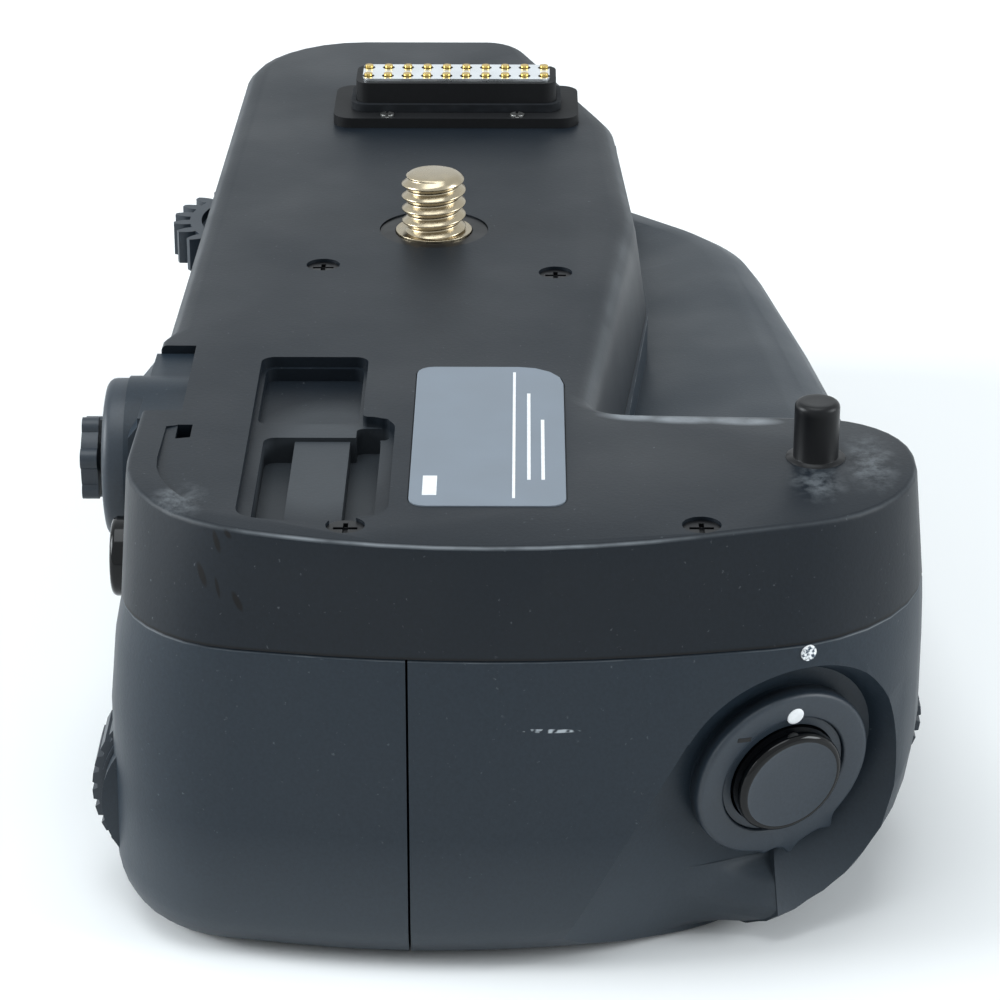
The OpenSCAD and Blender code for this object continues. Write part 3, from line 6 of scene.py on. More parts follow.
import bmesh
import bpy
import numpy as np
from mathutils import Matrix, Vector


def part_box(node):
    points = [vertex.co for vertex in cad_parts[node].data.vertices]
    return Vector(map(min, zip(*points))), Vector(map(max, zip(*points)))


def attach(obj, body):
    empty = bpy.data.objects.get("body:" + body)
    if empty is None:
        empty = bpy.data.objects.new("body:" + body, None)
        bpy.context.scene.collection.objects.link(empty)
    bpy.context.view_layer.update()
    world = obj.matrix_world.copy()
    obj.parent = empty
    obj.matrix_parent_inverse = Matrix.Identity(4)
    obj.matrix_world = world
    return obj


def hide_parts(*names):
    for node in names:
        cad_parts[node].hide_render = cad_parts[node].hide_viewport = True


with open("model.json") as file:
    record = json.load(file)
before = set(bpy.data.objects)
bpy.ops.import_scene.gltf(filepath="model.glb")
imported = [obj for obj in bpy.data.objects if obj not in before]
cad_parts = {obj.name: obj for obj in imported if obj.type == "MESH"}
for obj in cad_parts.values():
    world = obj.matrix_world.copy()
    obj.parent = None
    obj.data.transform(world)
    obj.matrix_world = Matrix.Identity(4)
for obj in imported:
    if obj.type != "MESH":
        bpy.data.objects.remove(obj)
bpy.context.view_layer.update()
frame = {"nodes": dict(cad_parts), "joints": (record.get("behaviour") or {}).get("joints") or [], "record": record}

bl_info = {
    "name": "Battery grip",
    "version": (1, 0, 0),
    "blender": (4, 5, 0),
    "location": "View3D > Sidebar > Grip",
    "description": "Dresses the packed battery grip and sets its studio",
    "category": "Object",
}

MM = 0.001
JOINTS = {j["name"]: j for j in frame["joints"]}
SLOT_OF = {s["node"]: s["material_slot"] for s in frame["record"]["subparts"]}
BODY_OF = {n: b for b, ns in frame["record"]["behaviour"]["bodies"].items() for n in ns}

# The photograph's view: dip below the horizon and turn in degrees, focal length in pixels of its frame
VIEW_DIP = 24.0
VIEW_TURN = 0.374
FOCAL_PX = 3638.6
FRAME_PX = 1000
CAMERA_MM = (-336.3, 0.0, 162.6)

# Colour of the daylight lamps and of the surroundings
COOL = (0.92, 0.97, 1.0)

# Height of the seam between the cover and the shells, and the strokes of painted highlight along the back edge of the
# lobe, in mm
SEAM_MM = 29.8
LOBE_HIGHLIGHT = (
    ((-42.3, -6.2, 40), (-43.6, -13.0, 40)),
    ((-43.4, -10.0, 40), (-43.8, -18.0, 40)),
    ((-43.6, -15.0, 40), (-44.1, -23.0, 40)),
)

# Ends of the ring's tick, in mm from its axis and degrees round it
TICK_ENDS = ((7.2, -134), (6.2, -141))

# Height of the facet under the ring's boss, turn of its channel from straight down, height of the channel's
# right wall at distances along it, and slope of the foot's edge across it, in mm and degrees
FACET_H_MM = -0.6
CHANNEL_TURN = 27.6
WALL_EDGE = (
    (8.4, 0.35), (9.25, 1.34), (10.0, 2.26), (10.75, 3.19), (11.5, 4.12), (12.25, 3.97),
    (13.0, 3.43), (13.75, 2.54), (14.5, 1.68), (15.25, 0.2), (15.7, -0.6),
)
FOOT_SLOPE = 0.46

# Stem's foot of the button below its axis' origin, and the place of the printed dot on the shell, in mm
STEM_FOOT = -6.6
SHELL_DOT_MM = (-66.95, -23.74, 28.93)
SHELL_DOT_NORMAL = (-0.9, -0.43, 0.01)

# Outer radius and bore of the lock ring, in mm
RING_R_MM = 8.2
RING_BORE_MM = 5.8

# Height of the plate and radius of the mounting screw's crest, in mm
PLATE_TOP_MM = 40.0
SCREW_R_MM = 3.175

# Width of the neck round the foot of the guide pin, and depth by which the end of the screw is domed, in mm
NECK_MM = 0.6
SCREW_DOME_MM = 1.2

# Bumps on the lock ring's outline: degrees round it, half width in degrees, height in mm and sharpness. They
# are the lever's two horns, the web between them and a small stop.
RING_BUMPS = ((38.5, 4.2, 1.3, 1.5), (12.5, 4.2, 1.25, 1.5), (25.5, 15, 0.35, 6), (-4.5, 3, 0.4, 1.5))

# Short scratches on the skirt: their ends and their width, in mm
SKIRT_CUTS = (
    ((-66.1, 25.2, 39.8), (-66.8, 24.6, 37.6), 0.35),
    ((-66.3, 24.4, 39.8), (-66.9, 23.6, 39.1), 0.35),
    ((-65.9, 26.6, 36.8), (-66.8, 25.8, 34.5), 0.4),
    ((-66.9, 25.1, 35.9), (-67.4, 24.7, 33.8), 0.35),
    ((-67.5, 23.7, 34.9), (-68.1, 22.8, 32.9), 0.4),
)


def linear(code):
    """A #rrggbb colour as linear RGBA."""
    c = np.array([int(code[i : i + 2], 16) for i in (1, 3, 5)]) / 255
    c = np.where(c <= 0.04045, c / 12.92, ((c + 0.055) / 1.055) ** 2.4)
    return (*c.tolist(), 1.0)


def length(name, text, mm):
    return bpy.props.FloatProperty(name=name, description=text, default=mm * MM, unit="LENGTH", precision=5)


def colour(name, text, code):
    return bpy.props.FloatVectorProperty(
        name=name, description=text, default=linear(code), size=4, subtype="COLOR", min=0, max=1
    )


class GripSizes(bpy.types.PropertyGroup):
    """Sizes that a user would change"""

    button_d: length("Button", "Diameter of the shutter button", 9.8)
    ring_h: length("Ring height", "Height of the lock ring above its boss", 1.6)
    button_top: length("Button top", "Height of the button's rim above the ring's boss", 3.0)
    edge: length("Edge", "Width of the eased edges of the mouldings", 0.2)
    thread_pitch: length("Pitch", "Pitch of the mounting screw's thread", 1.27)
    thread_depth: length("Thread depth", "Depth of the mounting screw's thread", 0.6)
    dot_d: length("Index dot", "Diameter of the white index dots", 1.55)


class GripColours(bpy.types.PropertyGroup):
    """Colours that a user would change"""

    cover: colour("Cover", "Moulded top cover", "#10171e")
    shell: colour("Shell", "Moulded shells", "#1b252e")
    control: colour("Controls", "Buttons, dials and ring", "#232c35")
    rubber: colour("Rubber", "Rubber of the grip", "#15181c")
    label: colour("Label", "Printed label", "#7a838d")
    ink: colour("Ink", "White marks", "#e8eaec")
    # This pale colour also paints highlights and floor light on the plastics
    worn_and_lit: colour("Worn", "Plastic rubbed pale on its edges", "#a9b0b6")
    nickel: colour("Nickel", "Plated mounting screw", "#ab9f88")
    floor: colour("Floor", "Studio floor", "#fbfcfc")


def sizes():
    return bpy.context.scene.grip_sizes


def colours():
    return bpy.context.scene.grip_colours


def add(tree, kind, inputs=None, **settings):
    """Adds a node: settings are its attributes, and each input is linked if it is a socket, or else set."""
    node = tree.nodes.new(kind)
    for key, value in settings.items():
        setattr(node, key, value)
    for key, value in (inputs or {}).items():
        if isinstance(value, bpy.types.NodeSocket):
            tree.links.new(value, node.inputs[key])
        else:
            node.inputs[key].default_value = value
    return node


def fresh(name):
    """An empty material with its Principled shader and Object coordinates."""
    mat = bpy.data.materials.new(name)
    mat.use_nodes = True
    tree = mat.node_tree
    coords = add(tree, "ShaderNodeTexCoord")
    return mat, tree, tree.nodes["Principled BSDF"], coords


def scaled(base, k):
    return [min(1.0, c * k) for c in base[:3]] + [1.0]


def spot(tree, place, centre, half, turn=None):
    """A soft ellipsoid about centre, in mm: 1 in its middle and 0 from its half sizes on."""
    mapped = add(
        tree,
        "ShaderNodeMapping",
        {
            "Vector": place,
            "Location": [c * MM for c in centre],
            "Rotation": turn or (0, 0, 0),
            "Scale": [h * MM for h in half],
        },
        vector_type="TEXTURE",
    )
    return add(tree, "ShaderNodeTexGradient", {"Vector": mapped.outputs[0]}, gradient_type="SPHERICAL").outputs["Fac"]


def stroke(tree, place, start, end, width):
    """A thin ellipsoid from start to end, in mm, for a scratch."""
    a, b = np.array(start, float), np.array(end, float)
    along = unit(b - a)
    side = unit(np.cross(along, (0.3, 0.2, 1.0)))
    m = np.stack([along, side, np.cross(along, side)], -1)
    turn = tuple(Matrix(m.tolist()).to_euler())
    half = (np.linalg.norm(b - a) / 2, width / 2, width)
    return spot(tree, place, (a + b) / 2, half, turn)


def joined(tree, values, operation="MAXIMUM"):
    """Several masks as one."""
    total = values[0]
    for value in values[1:]:
        total = add(tree, "ShaderNodeMath", {0: total, 1: value}, operation=operation).outputs[0]
    return total


def ramp(tree, value, low, high, to_low=0.0, to_high=1.0):
    """A value carried from one range to another, and kept within it."""
    return add(
        tree,
        "ShaderNodeMapRange",
        {"Value": value, "From Min": low, "From Max": high, "To Min": to_low, "To Max": to_high},
    ).outputs["Result"]


def times(tree, *values):
    """The product of masks."""
    return joined(tree, values, "MULTIPLY")


def noise(tree, place, size_mm, detail, **inputs):
    """A noise whose features are about size_mm across."""
    settings = {"Vector": place, "Scale": 1 / (size_mm * MM), "Detail": detail, **inputs}
    return add(tree, "ShaderNodeTexNoise", settings).outputs["Fac"]


def blended(tree, mask, first, second):
    """A colour mixed from two by a mask."""
    return add(tree, "ShaderNodeMix", {0: mask, 6: first, 7: second}, data_type="RGBA").outputs[2]


def moulded(name, base, grain_mm, rough, level, relief=0.25, wear_and_light=None):
    """Moulded plastic with a spark-eroded grain: matt, with a fine sparkle and hand-rubbed patches. The function
    given last returns a mask of the pale places, rubbed ones as well as painted highlights and painted floor light,
    and one of the dark places, scratches as well as painted shade along the seam."""
    mat, tree, shader, coords = fresh(name)
    place = coords.outputs["Object"]
    grain = noise(tree, place, grain_mm, 2.0)
    patch = noise(tree, place, 14, 3.0)
    bump = add(tree, "ShaderNodeBump", {"Height": grain, "Strength": relief, "Distance": 0.05 * MM})
    tint = blended(tree, grain, scaled(base, 0.75), scaled(base, 1.3))
    spread = ramp(tree, patch, 0.3, 0.7, rough - 0.05, rough + 0.05)
    if wear_and_light:
        pale, dark = wear_and_light(tree, coords)
        # The pale mask holds rubbed places and also painted highlights and painted floor light
        tint = blended(tree, pale, tint, colours().worn_and_lit)
        # The dark mask holds scratches and also painted shade along the seam
        if dark is not None:
            tint = blended(tree, dark, tint, linear("#030304"))
    tree.links.new(tint, shader.inputs["Base Color"])
    tree.links.new(spread, shader.inputs["Roughness"])
    tree.links.new(bump.outputs["Normal"], shader.inputs["Normal"])
    shader.inputs["Specular IOR Level"].default_value = level
    return mat


def cover_wear_and_light(tree, coords):
    """The cover's rim is rubbed pale at the shutter end and behind the lobe, and the lobe's back edge has strokes of
    painted highlight. Its plate is specked and scuffed round the pin, its recess is dusty and painted paler with
    painted light that lifts its shade, and its skirt has short scratches and a dark lower edge that is painted shade
    along the seam.
    The rim is found by its normal, which lies between the plate's and the skirt's."""
    place = coords.outputs["Object"]
    up = add(tree, "ShaderNodeSeparateXYZ", {"Vector": coords.outputs["Normal"]}).outputs["Z"]
    rim = times(tree, ramp(tree, up, 0.35, 0.65), ramp(tree, up, 0.93, 0.75))
    rubbed = noise(tree, place, 4, 5.0)
    speck = noise(tree, place, 0.5, 3.0)
    most = joined(
        tree,
        [
            ramp(tree, spot(tree, place, (-69, 5, 40), (8, 20, 4)), 0.0, 0.3, 0.08, 0.42),
            ramp(tree, spot(tree, place, (-43, -19, 39.5), (6, 15, 5)), 0.0, 0.3, 0.08, 0.9),
        ],
    )
    rim = times(tree, rim, most, ramp(tree, rubbed, 0.25, 0.6, 0.25, 1.0))
    cloud = noise(tree, place, 1.6, 8.0, Roughness=0.7)
    scuffs = joined(
        tree,
        [
            spot(tree, place, (-57.2, -24.8, 40), (5.0, 3.0, 0.6)),
            spot(tree, place, (-53, -29.5, 40), (7.5, 3.0, 0.6)),
            spot(tree, place, (-61, 28.5, 40), (5, 3.0, 0.6)),
        ],
    )
    scuffs = times(tree, scuffs, ramp(tree, cloud, 0.38, 0.75))
    # Painted highlight: pale strokes along the back edge of the lobe, broken up by the noise
    lobe_highlight = joined(tree, [stroke(tree, place, a, b, 2.2) for a, b in LOBE_HIGHLIGHT])
    lobe_highlight = times(tree, ramp(tree, lobe_highlight, 0.0, 0.6, 0.0, 0.5), ramp(tree, rubbed, 0.3, 0.6, 0.35, 1.0))
    # A paler patch in the recess: dusty, and painted light that lifts the recess's shade
    recess_dust_and_light = ramp(tree, spot(tree, place, (-49.5, 17, 37), (16.5, 9, 2.9)), 0.0, 0.2, 0.0, 0.07)
    pale = joined(
        tree,
        [rim, lobe_highlight, recess_dust_and_light, ramp(tree, scuffs, 0.03, 0.5, 0.0, 0.22), ramp(tree, speck, 0.7, 0.76, 0.0, 0.12)],
    )
    height = add(tree, "ShaderNodeSeparateXYZ", {"Vector": place}).outputs["Z"]
    # Painted shade: the skirt's foot, up to about 0.3 mm above the seam, is painted near black
    foot = ramp(tree, height, (SEAM_MM + 0.28) * MM, (SEAM_MM + 0.12) * MM, 0.0, 0.85)
    dark = joined(tree, [foot, ramp(tree, joined(tree, [stroke(tree, place, *c) for c in SKIRT_CUTS]), 0.05, 0.4)])
    return pale, dark


def shell_wear_and_light(tree, coords):
    """A row of short pale scratches across the end of the shell, a painted highlight as a pale edge along the seam on
    its upright faces, a foot painted paler as painted light from the floor, and faint specks."""
    place = coords.outputs["Object"]
    speck = noise(tree, place, 0.45, 3.0)
    line = stroke(tree, place, (-70.4, 0.6, 23.4), (-70.1, -5.1, 23.25), 0.24)
    dash = noise(tree, place, 0.7, 1.0)
    line = times(tree, ramp(tree, line, 0.02, 0.3), ramp(tree, dash, 0.46, 0.56))
    height = add(tree, "ShaderNodeSeparateXYZ", {"Vector": place}).outputs["Z"]
    up = add(tree, "ShaderNodeSeparateXYZ", {"Vector": coords.outputs["Normal"]}).outputs["Z"]
    # Painted highlight: a pale line along the shell's upright faces just under the seam, broken up by noise
    edge = joined(
        tree,
        [
            ramp(tree, height, (SEAM_MM - 0.3) * MM, (SEAM_MM - 0.16) * MM),
            ramp(tree, height, (SEAM_MM + 0.2) * MM, (SEAM_MM + 0.1) * MM),
            ramp(tree, up, 0.6, 0.3),
        ],
        "MINIMUM",
    )
    # Painted floor light: the shell grows paler towards its foot
    foot = ramp(tree, height, 13 * MM, 3 * MM, 0.0, 0.07)
    long = noise(tree, place, 5, 4.0)
    edge = times(tree, edge, ramp(tree, long, 0.4, 0.62, 0.06, 0.42))
    return joined(tree, [line, edge, foot, ramp(tree, speck, 0.7, 0.78, 0.0, 0.1)]), None


def plain(name, base, rough, metallic=0.0, level=0.5, uneven=0.06, patch_mm=3.0):
    """A smooth finish whose colour and gloss vary a little over patches of a few mm."""
    mat, tree, shader, coords = fresh(name)
    patch = noise(tree, coords.outputs["Object"], patch_mm, 4.0)
    tree.links.new(blended(tree, patch, scaled(base, 0.85), scaled(base, 1.12)), shader.inputs["Base Color"])
    tree.links.new(ramp(tree, patch, 0.3, 0.7, rough - uneven, rough + uneven), shader.inputs["Roughness"])
    shader.inputs["Metallic"].default_value = metallic
    shader.inputs["Specular IOR Level"].default_value = level
    return mat


def pebbled(name, base, pebble_mm, rough, level):
    """Moulded rubber with a leather-like pebble: rounded cells about a millimetre across."""
    mat, tree, shader, coords = fresh(name)
    place = coords.outputs["Object"]
    cells = add(tree, "ShaderNodeTexVoronoi", {"Vector": place, "Scale": 1 / (pebble_mm * MM)}, feature="SMOOTH_F1")
    bump = add(
        tree,
        "ShaderNodeBump",
        {"Height": cells.outputs["Distance"], "Strength": 0.6, "Distance": 0.2 * MM},
        invert=True,
    )
    # Painted shade: the pebbles are paler on their tops and darker in the hollows between them
    tint = blended(tree, cells.outputs["Distance"], scaled(base, 1.25), scaled(base, 0.6))
    tree.links.new(tint, shader.inputs["Base Color"])
    tree.links.new(bump.outputs["Normal"], shader.inputs["Normal"])
    shader.inputs["Roughness"].default_value = rough
    shader.inputs["Specular IOR Level"].default_value = level
    return mat


def flecked(name, base, under):
    """Ink that is rubbed through in flecks a third of a millimetre across."""
    mat, tree, shader, coords = fresh(name)
    fleck = noise(tree, coords.outputs["Object"], 0.3, 3.0)
    tree.links.new(blended(tree, ramp(tree, fleck, 0.48, 0.62), base, scaled(under, 3)), shader.inputs["Base Color"])
    shader.inputs["Roughness"].default_value = 0.55
    shader.inputs["Specular IOR Level"].default_value = 0.2
    return mat


def build_materials():
    c = colours()
    return {
        # Moulded ABS with a fine matt grain, rubbed pale on its rim, with painted highlight behind the lobe and
        # painted shade along the seam
        "cover_plastic": moulded("Moulded ABS cover", c.cover, 0.35, 0.45, 0.22, wear_and_light=cover_wear_and_light),
        # The same ABS with a finer grain, with painted light from the floor low down and a painted highlight along
        # the seam
        "shell_plastic": moulded("Moulded ABS shell", c.shell, 0.3, 0.45, 0.28, wear_and_light=shell_wear_and_light),
        "inner_plastic": moulded("Moulded ABS inner", linear("#101113"), 0.5, 0.6, 0.2),
        # Moulded rubber, dull, with a pebble
        "rubber": pebbled("Moulded rubber", c.rubber, 1.1, 0.7, 0.2),
        # Polished ABS of the buttons, which mirrors the lamps in its rim
        "black_gloss": plain("Polished ABS", linear("#050608"), 0.1, level=0.25, uneven=0.03),
        # Satin ABS of the ring and the dials
        "control_plastic": moulded("Satin ABS", c.control, 0.25, 0.42, 0.45, 0.12),
        # Nickel plate, warm and slightly dulled by use
        "nickel": plain("Nickel plate", c.nickel, 0.26, metallic=1.0, uneven=0.1, patch_mm=1.2),
        # Satin steel of the axles and the bracket
        "steel": plain("Satin steel", linear("#9c9c9a"), 0.35, metallic=1.0),
        # Blackened steel of the pin and the small screws
        "black_steel": plain("Blackened steel", linear("#08090c"), 0.36, level=0.22),
        # Gold plate of the contacts
        "contact_metal": plain("Gold plate", linear("#c9ac62"), 0.25, metallic=1.0),
        # Solder mask on glass-fibre board
        "board": plain("Solder mask", linear("#1f5a3c"), 0.35),
        # Printed foil, satin
        "label": plain("Printed foil", c.label, 0.45, level=0.25, patch_mm=5.0),
        # White ink, dull and a little uneven
        "ink": plain("White ink", c.ink, 0.55, level=0.2, patch_mm=0.5),
        # White ink that is rubbed off in flecks
        "worn_ink": flecked("Worn white ink", c.ink, c.shell),
        # Tin plate of the connector's strip, which shows the white surroundings
        "tin": plain("Tin plate", linear("#e9edf0"), 0.3, metallic=1.0),
    }


MATERIALS = {}


def finish_of(name):
    if not MATERIALS:
        MATERIALS.update(build_materials())
    return MATERIALS[name]


def unit(v):
    v = np.asarray(v, float)
    return v / np.linalg.norm(v)


def axes_of(axis, down=(0, 0, -1)):
    """Right-handed frame whose third axis is axis and whose first is as near to down as it can be."""
    n = unit(axis)
    d = np.asarray(down, float)
    x = unit(d - n * (d @ n))
    return np.stack([x, np.cross(n, x), n])


def quads(rows, cols, wrap=True):
    """Faces of a grid of rows by cols points, closed round the columns if wrap is set."""
    across = cols if wrap else cols - 1
    r, c = np.meshgrid(np.arange(rows - 1), np.arange(across), indexing="ij")
    a = r * cols + c
    b = r * cols + (c + 1) % cols
    return np.stack([a, b, b + cols, a + cols], -1).reshape(-1, 4)


def settle(name, mesh, finish, body, stands_for=()):
    """Links a mesh as a piece with its finish, its body and the nodes that it stands for."""
    piece = bpy.data.objects.new(name, mesh)
    bpy.context.scene.collection.objects.link(piece)
    mesh.materials.append(finish_of(finish))
    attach(piece, body)
    if stands_for:
        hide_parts(*stands_for)
    return piece


def put(name, points, faces, finish, body, stands_for=(), smooth=True):
    """Makes a piece from points in metres and faces, in the CAD frame, riding on a body."""
    mesh = bpy.data.meshes.new(name)
    mesh.from_pydata(points.tolist(), [], [list(f) for f in faces])
    bm = bmesh.new()
    bm.from_mesh(mesh)
    bmesh.ops.remove_doubles(bm, verts=bm.verts, dist=1e-7)
    bmesh.ops.recalc_face_normals(bm, faces=bm.faces)
    bm.to_mesh(mesh)
    bm.free()
    mesh.polygons.foreach_set("use_smooth", [smooth] * len(mesh.polygons))
    return settle(name, mesh, finish, body, stands_for)


def eased(piece, width, angle=32, segments=2):
    """Rounds the piece's sharp edges."""
    bevel = piece.modifiers.new("Eased edges", "BEVEL")
    bevel.width = width
    bevel.segments = segments
    bevel.limit_method = "ANGLE"
    bevel.angle_limit = math.radians(angle)
    bevel.harden_normals = True
    return piece


def dressed(node, width, angle=32, finish=None, below=None):
    """A merged copy of a CAD node with its flat faces joined, its curves smooth and its edges eased. below
    keeps only what is under that height."""
    mesh = frame["nodes"][node].data.copy()
    mesh.materials.clear()
    bm = bmesh.new()
    bm.from_mesh(mesh)
    bmesh.ops.remove_doubles(bm, verts=bm.verts, dist=2e-6)
    bmesh.ops.dissolve_limit(bm, angle_limit=math.radians(0.5), verts=bm.verts, edges=bm.edges)
    if below is not None:
        bmesh.ops.bisect_plane(
            bm,
            geom=bm.verts[:] + bm.edges[:] + bm.faces[:],
            plane_co=(0, 0, below),
            plane_no=(0, 0, 1),
            clear_outer=True,
        )
        bmesh.ops.holes_fill(bm, edges=[e for e in bm.edges if e.is_boundary])
    for edge in bm.edges:
        edge.smooth = len(edge.link_faces) == 2 and edge.calc_face_angle(0) < math.radians(angle)
    for face in bm.faces:
        face.smooth = True
    bm.to_mesh(mesh)
    bm.free()
    piece = settle("dressed_" + node, mesh, finish or SLOT_OF[node], BODY_OF[node], [node])
    if width:
        eased(piece, width, angle)
    return piece


def revolved(name, profile, origin, axes, finish, body, stands_for=(), steps=96):
    """Carries a profile of [radius, height] in mm once round an axis: each point is radius times
    the unit circle plus its height along the axis."""
    profile = np.asarray(profile, float) * MM
    t = np.linspace(0, 2 * np.pi, steps, endpoint=False)
    ring = np.stack([np.cos(t), np.sin(t)], -1) @ axes[:2]
    pts = origin + profile[:, None, :1] * ring[None] + profile[:, None, 1:] * axes[2]
    return put(name, pts.reshape(-1, 3), quads(len(profile), steps), finish, body, stands_for)


def arc(cx, cy, r, a0, a1, n=7):
    """Points of an arc about (cx, cy), from angle a0 to a1 in degrees."""
    a = np.radians(np.linspace(a0, a1, n))
    return np.stack([cx + r * np.cos(a), cy + r * np.sin(a)], -1).tolist()


def bar(name, low, high, finish, body):
    """A block between two corners in mm: the eight points are every mix of their coordinates."""
    pick = np.array([[i & 1, i >> 1 & 1, i >> 2] for i in range(8)])
    pts = np.where(pick, high, low) * MM
    faces = [(0, 2, 3, 1), (4, 5, 7, 6), (0, 1, 5, 4), (2, 6, 7, 3), (0, 4, 6, 2), (1, 3, 7, 5)]
    return put(name, pts, faces, finish, body, smooth=False)


def dot(name, at, normal, diameter, body, finish="ink"):
    """A printed dot: a disc that is slightly domed, its height falling with the square of the radius."""
    r = np.linspace(1, 0, 6)
    profile = np.concatenate([[[1, -0.08]], np.stack([r, 0.02 + 0.03 * (1 - r**2)], -1)])
    profile[:, 0] *= diameter / MM / 2
    return revolved(name, profile, at, axes_of(normal), finish, body, steps=32)


def shutter_frame():
    j = JOINTS["lock_turn"]
    return np.array(j["pos_m"]), axes_of(j["axis"])


class GRIP_OT_housing(bpy.types.Operator):
    """Dresses the housing's mouldings and the pieces inside it"""

    bl_idname = "grip.housing"
    bl_label = "Housing"

    def execute(self, context):
        for node in ("top_cover", "front_shell", "rear_shell", "tray_door"):
            dressed(node, sizes().edge)
        for node in ("chamber_sleeve", "battery_tray", "connector_block", "grip_rubber", "thumb_rubber"):
            dressed(node, 0.15 * MM)
        for node in (
            "connector_gasket door_seal base_screws cover_screws selector_gimbal main_dial_axle sub_dial_axle "
            "wheel_axle gear_bracket tripod_socket latch_bar connector_screws "
            "connector_pins tray_contacts chamber_contacts circuit_board shutter_switch thumb_switch"
        ).split():
            dressed(node, 0.05 * MM)
        dressed("connector_strip", 0.05 * MM, finish="tin")
        dressed("screw_bush", 0.05 * MM, finish="black_steel")
        dressed("shutter_bush", 0.05 * MM, finish="control_plastic")
        return {"FINISHED"}


class GRIP_OT_controls(bpy.types.Operator):
    """Dresses the dials, the wheel, the selector, the thumb button and the latch"""

    bl_idname = "grip.controls"
    bl_label = "Controls"

    def execute(self, context):
        for node in ("main_dial", "sub_dial", "attachment_wheel", "multi_selector"):
            dressed(node, 0.1 * MM)
        for node in ("latch_knob", "selector_base", "thumb_button"):
            dressed(node, 0.2 * MM)
        return {"FINISHED"}


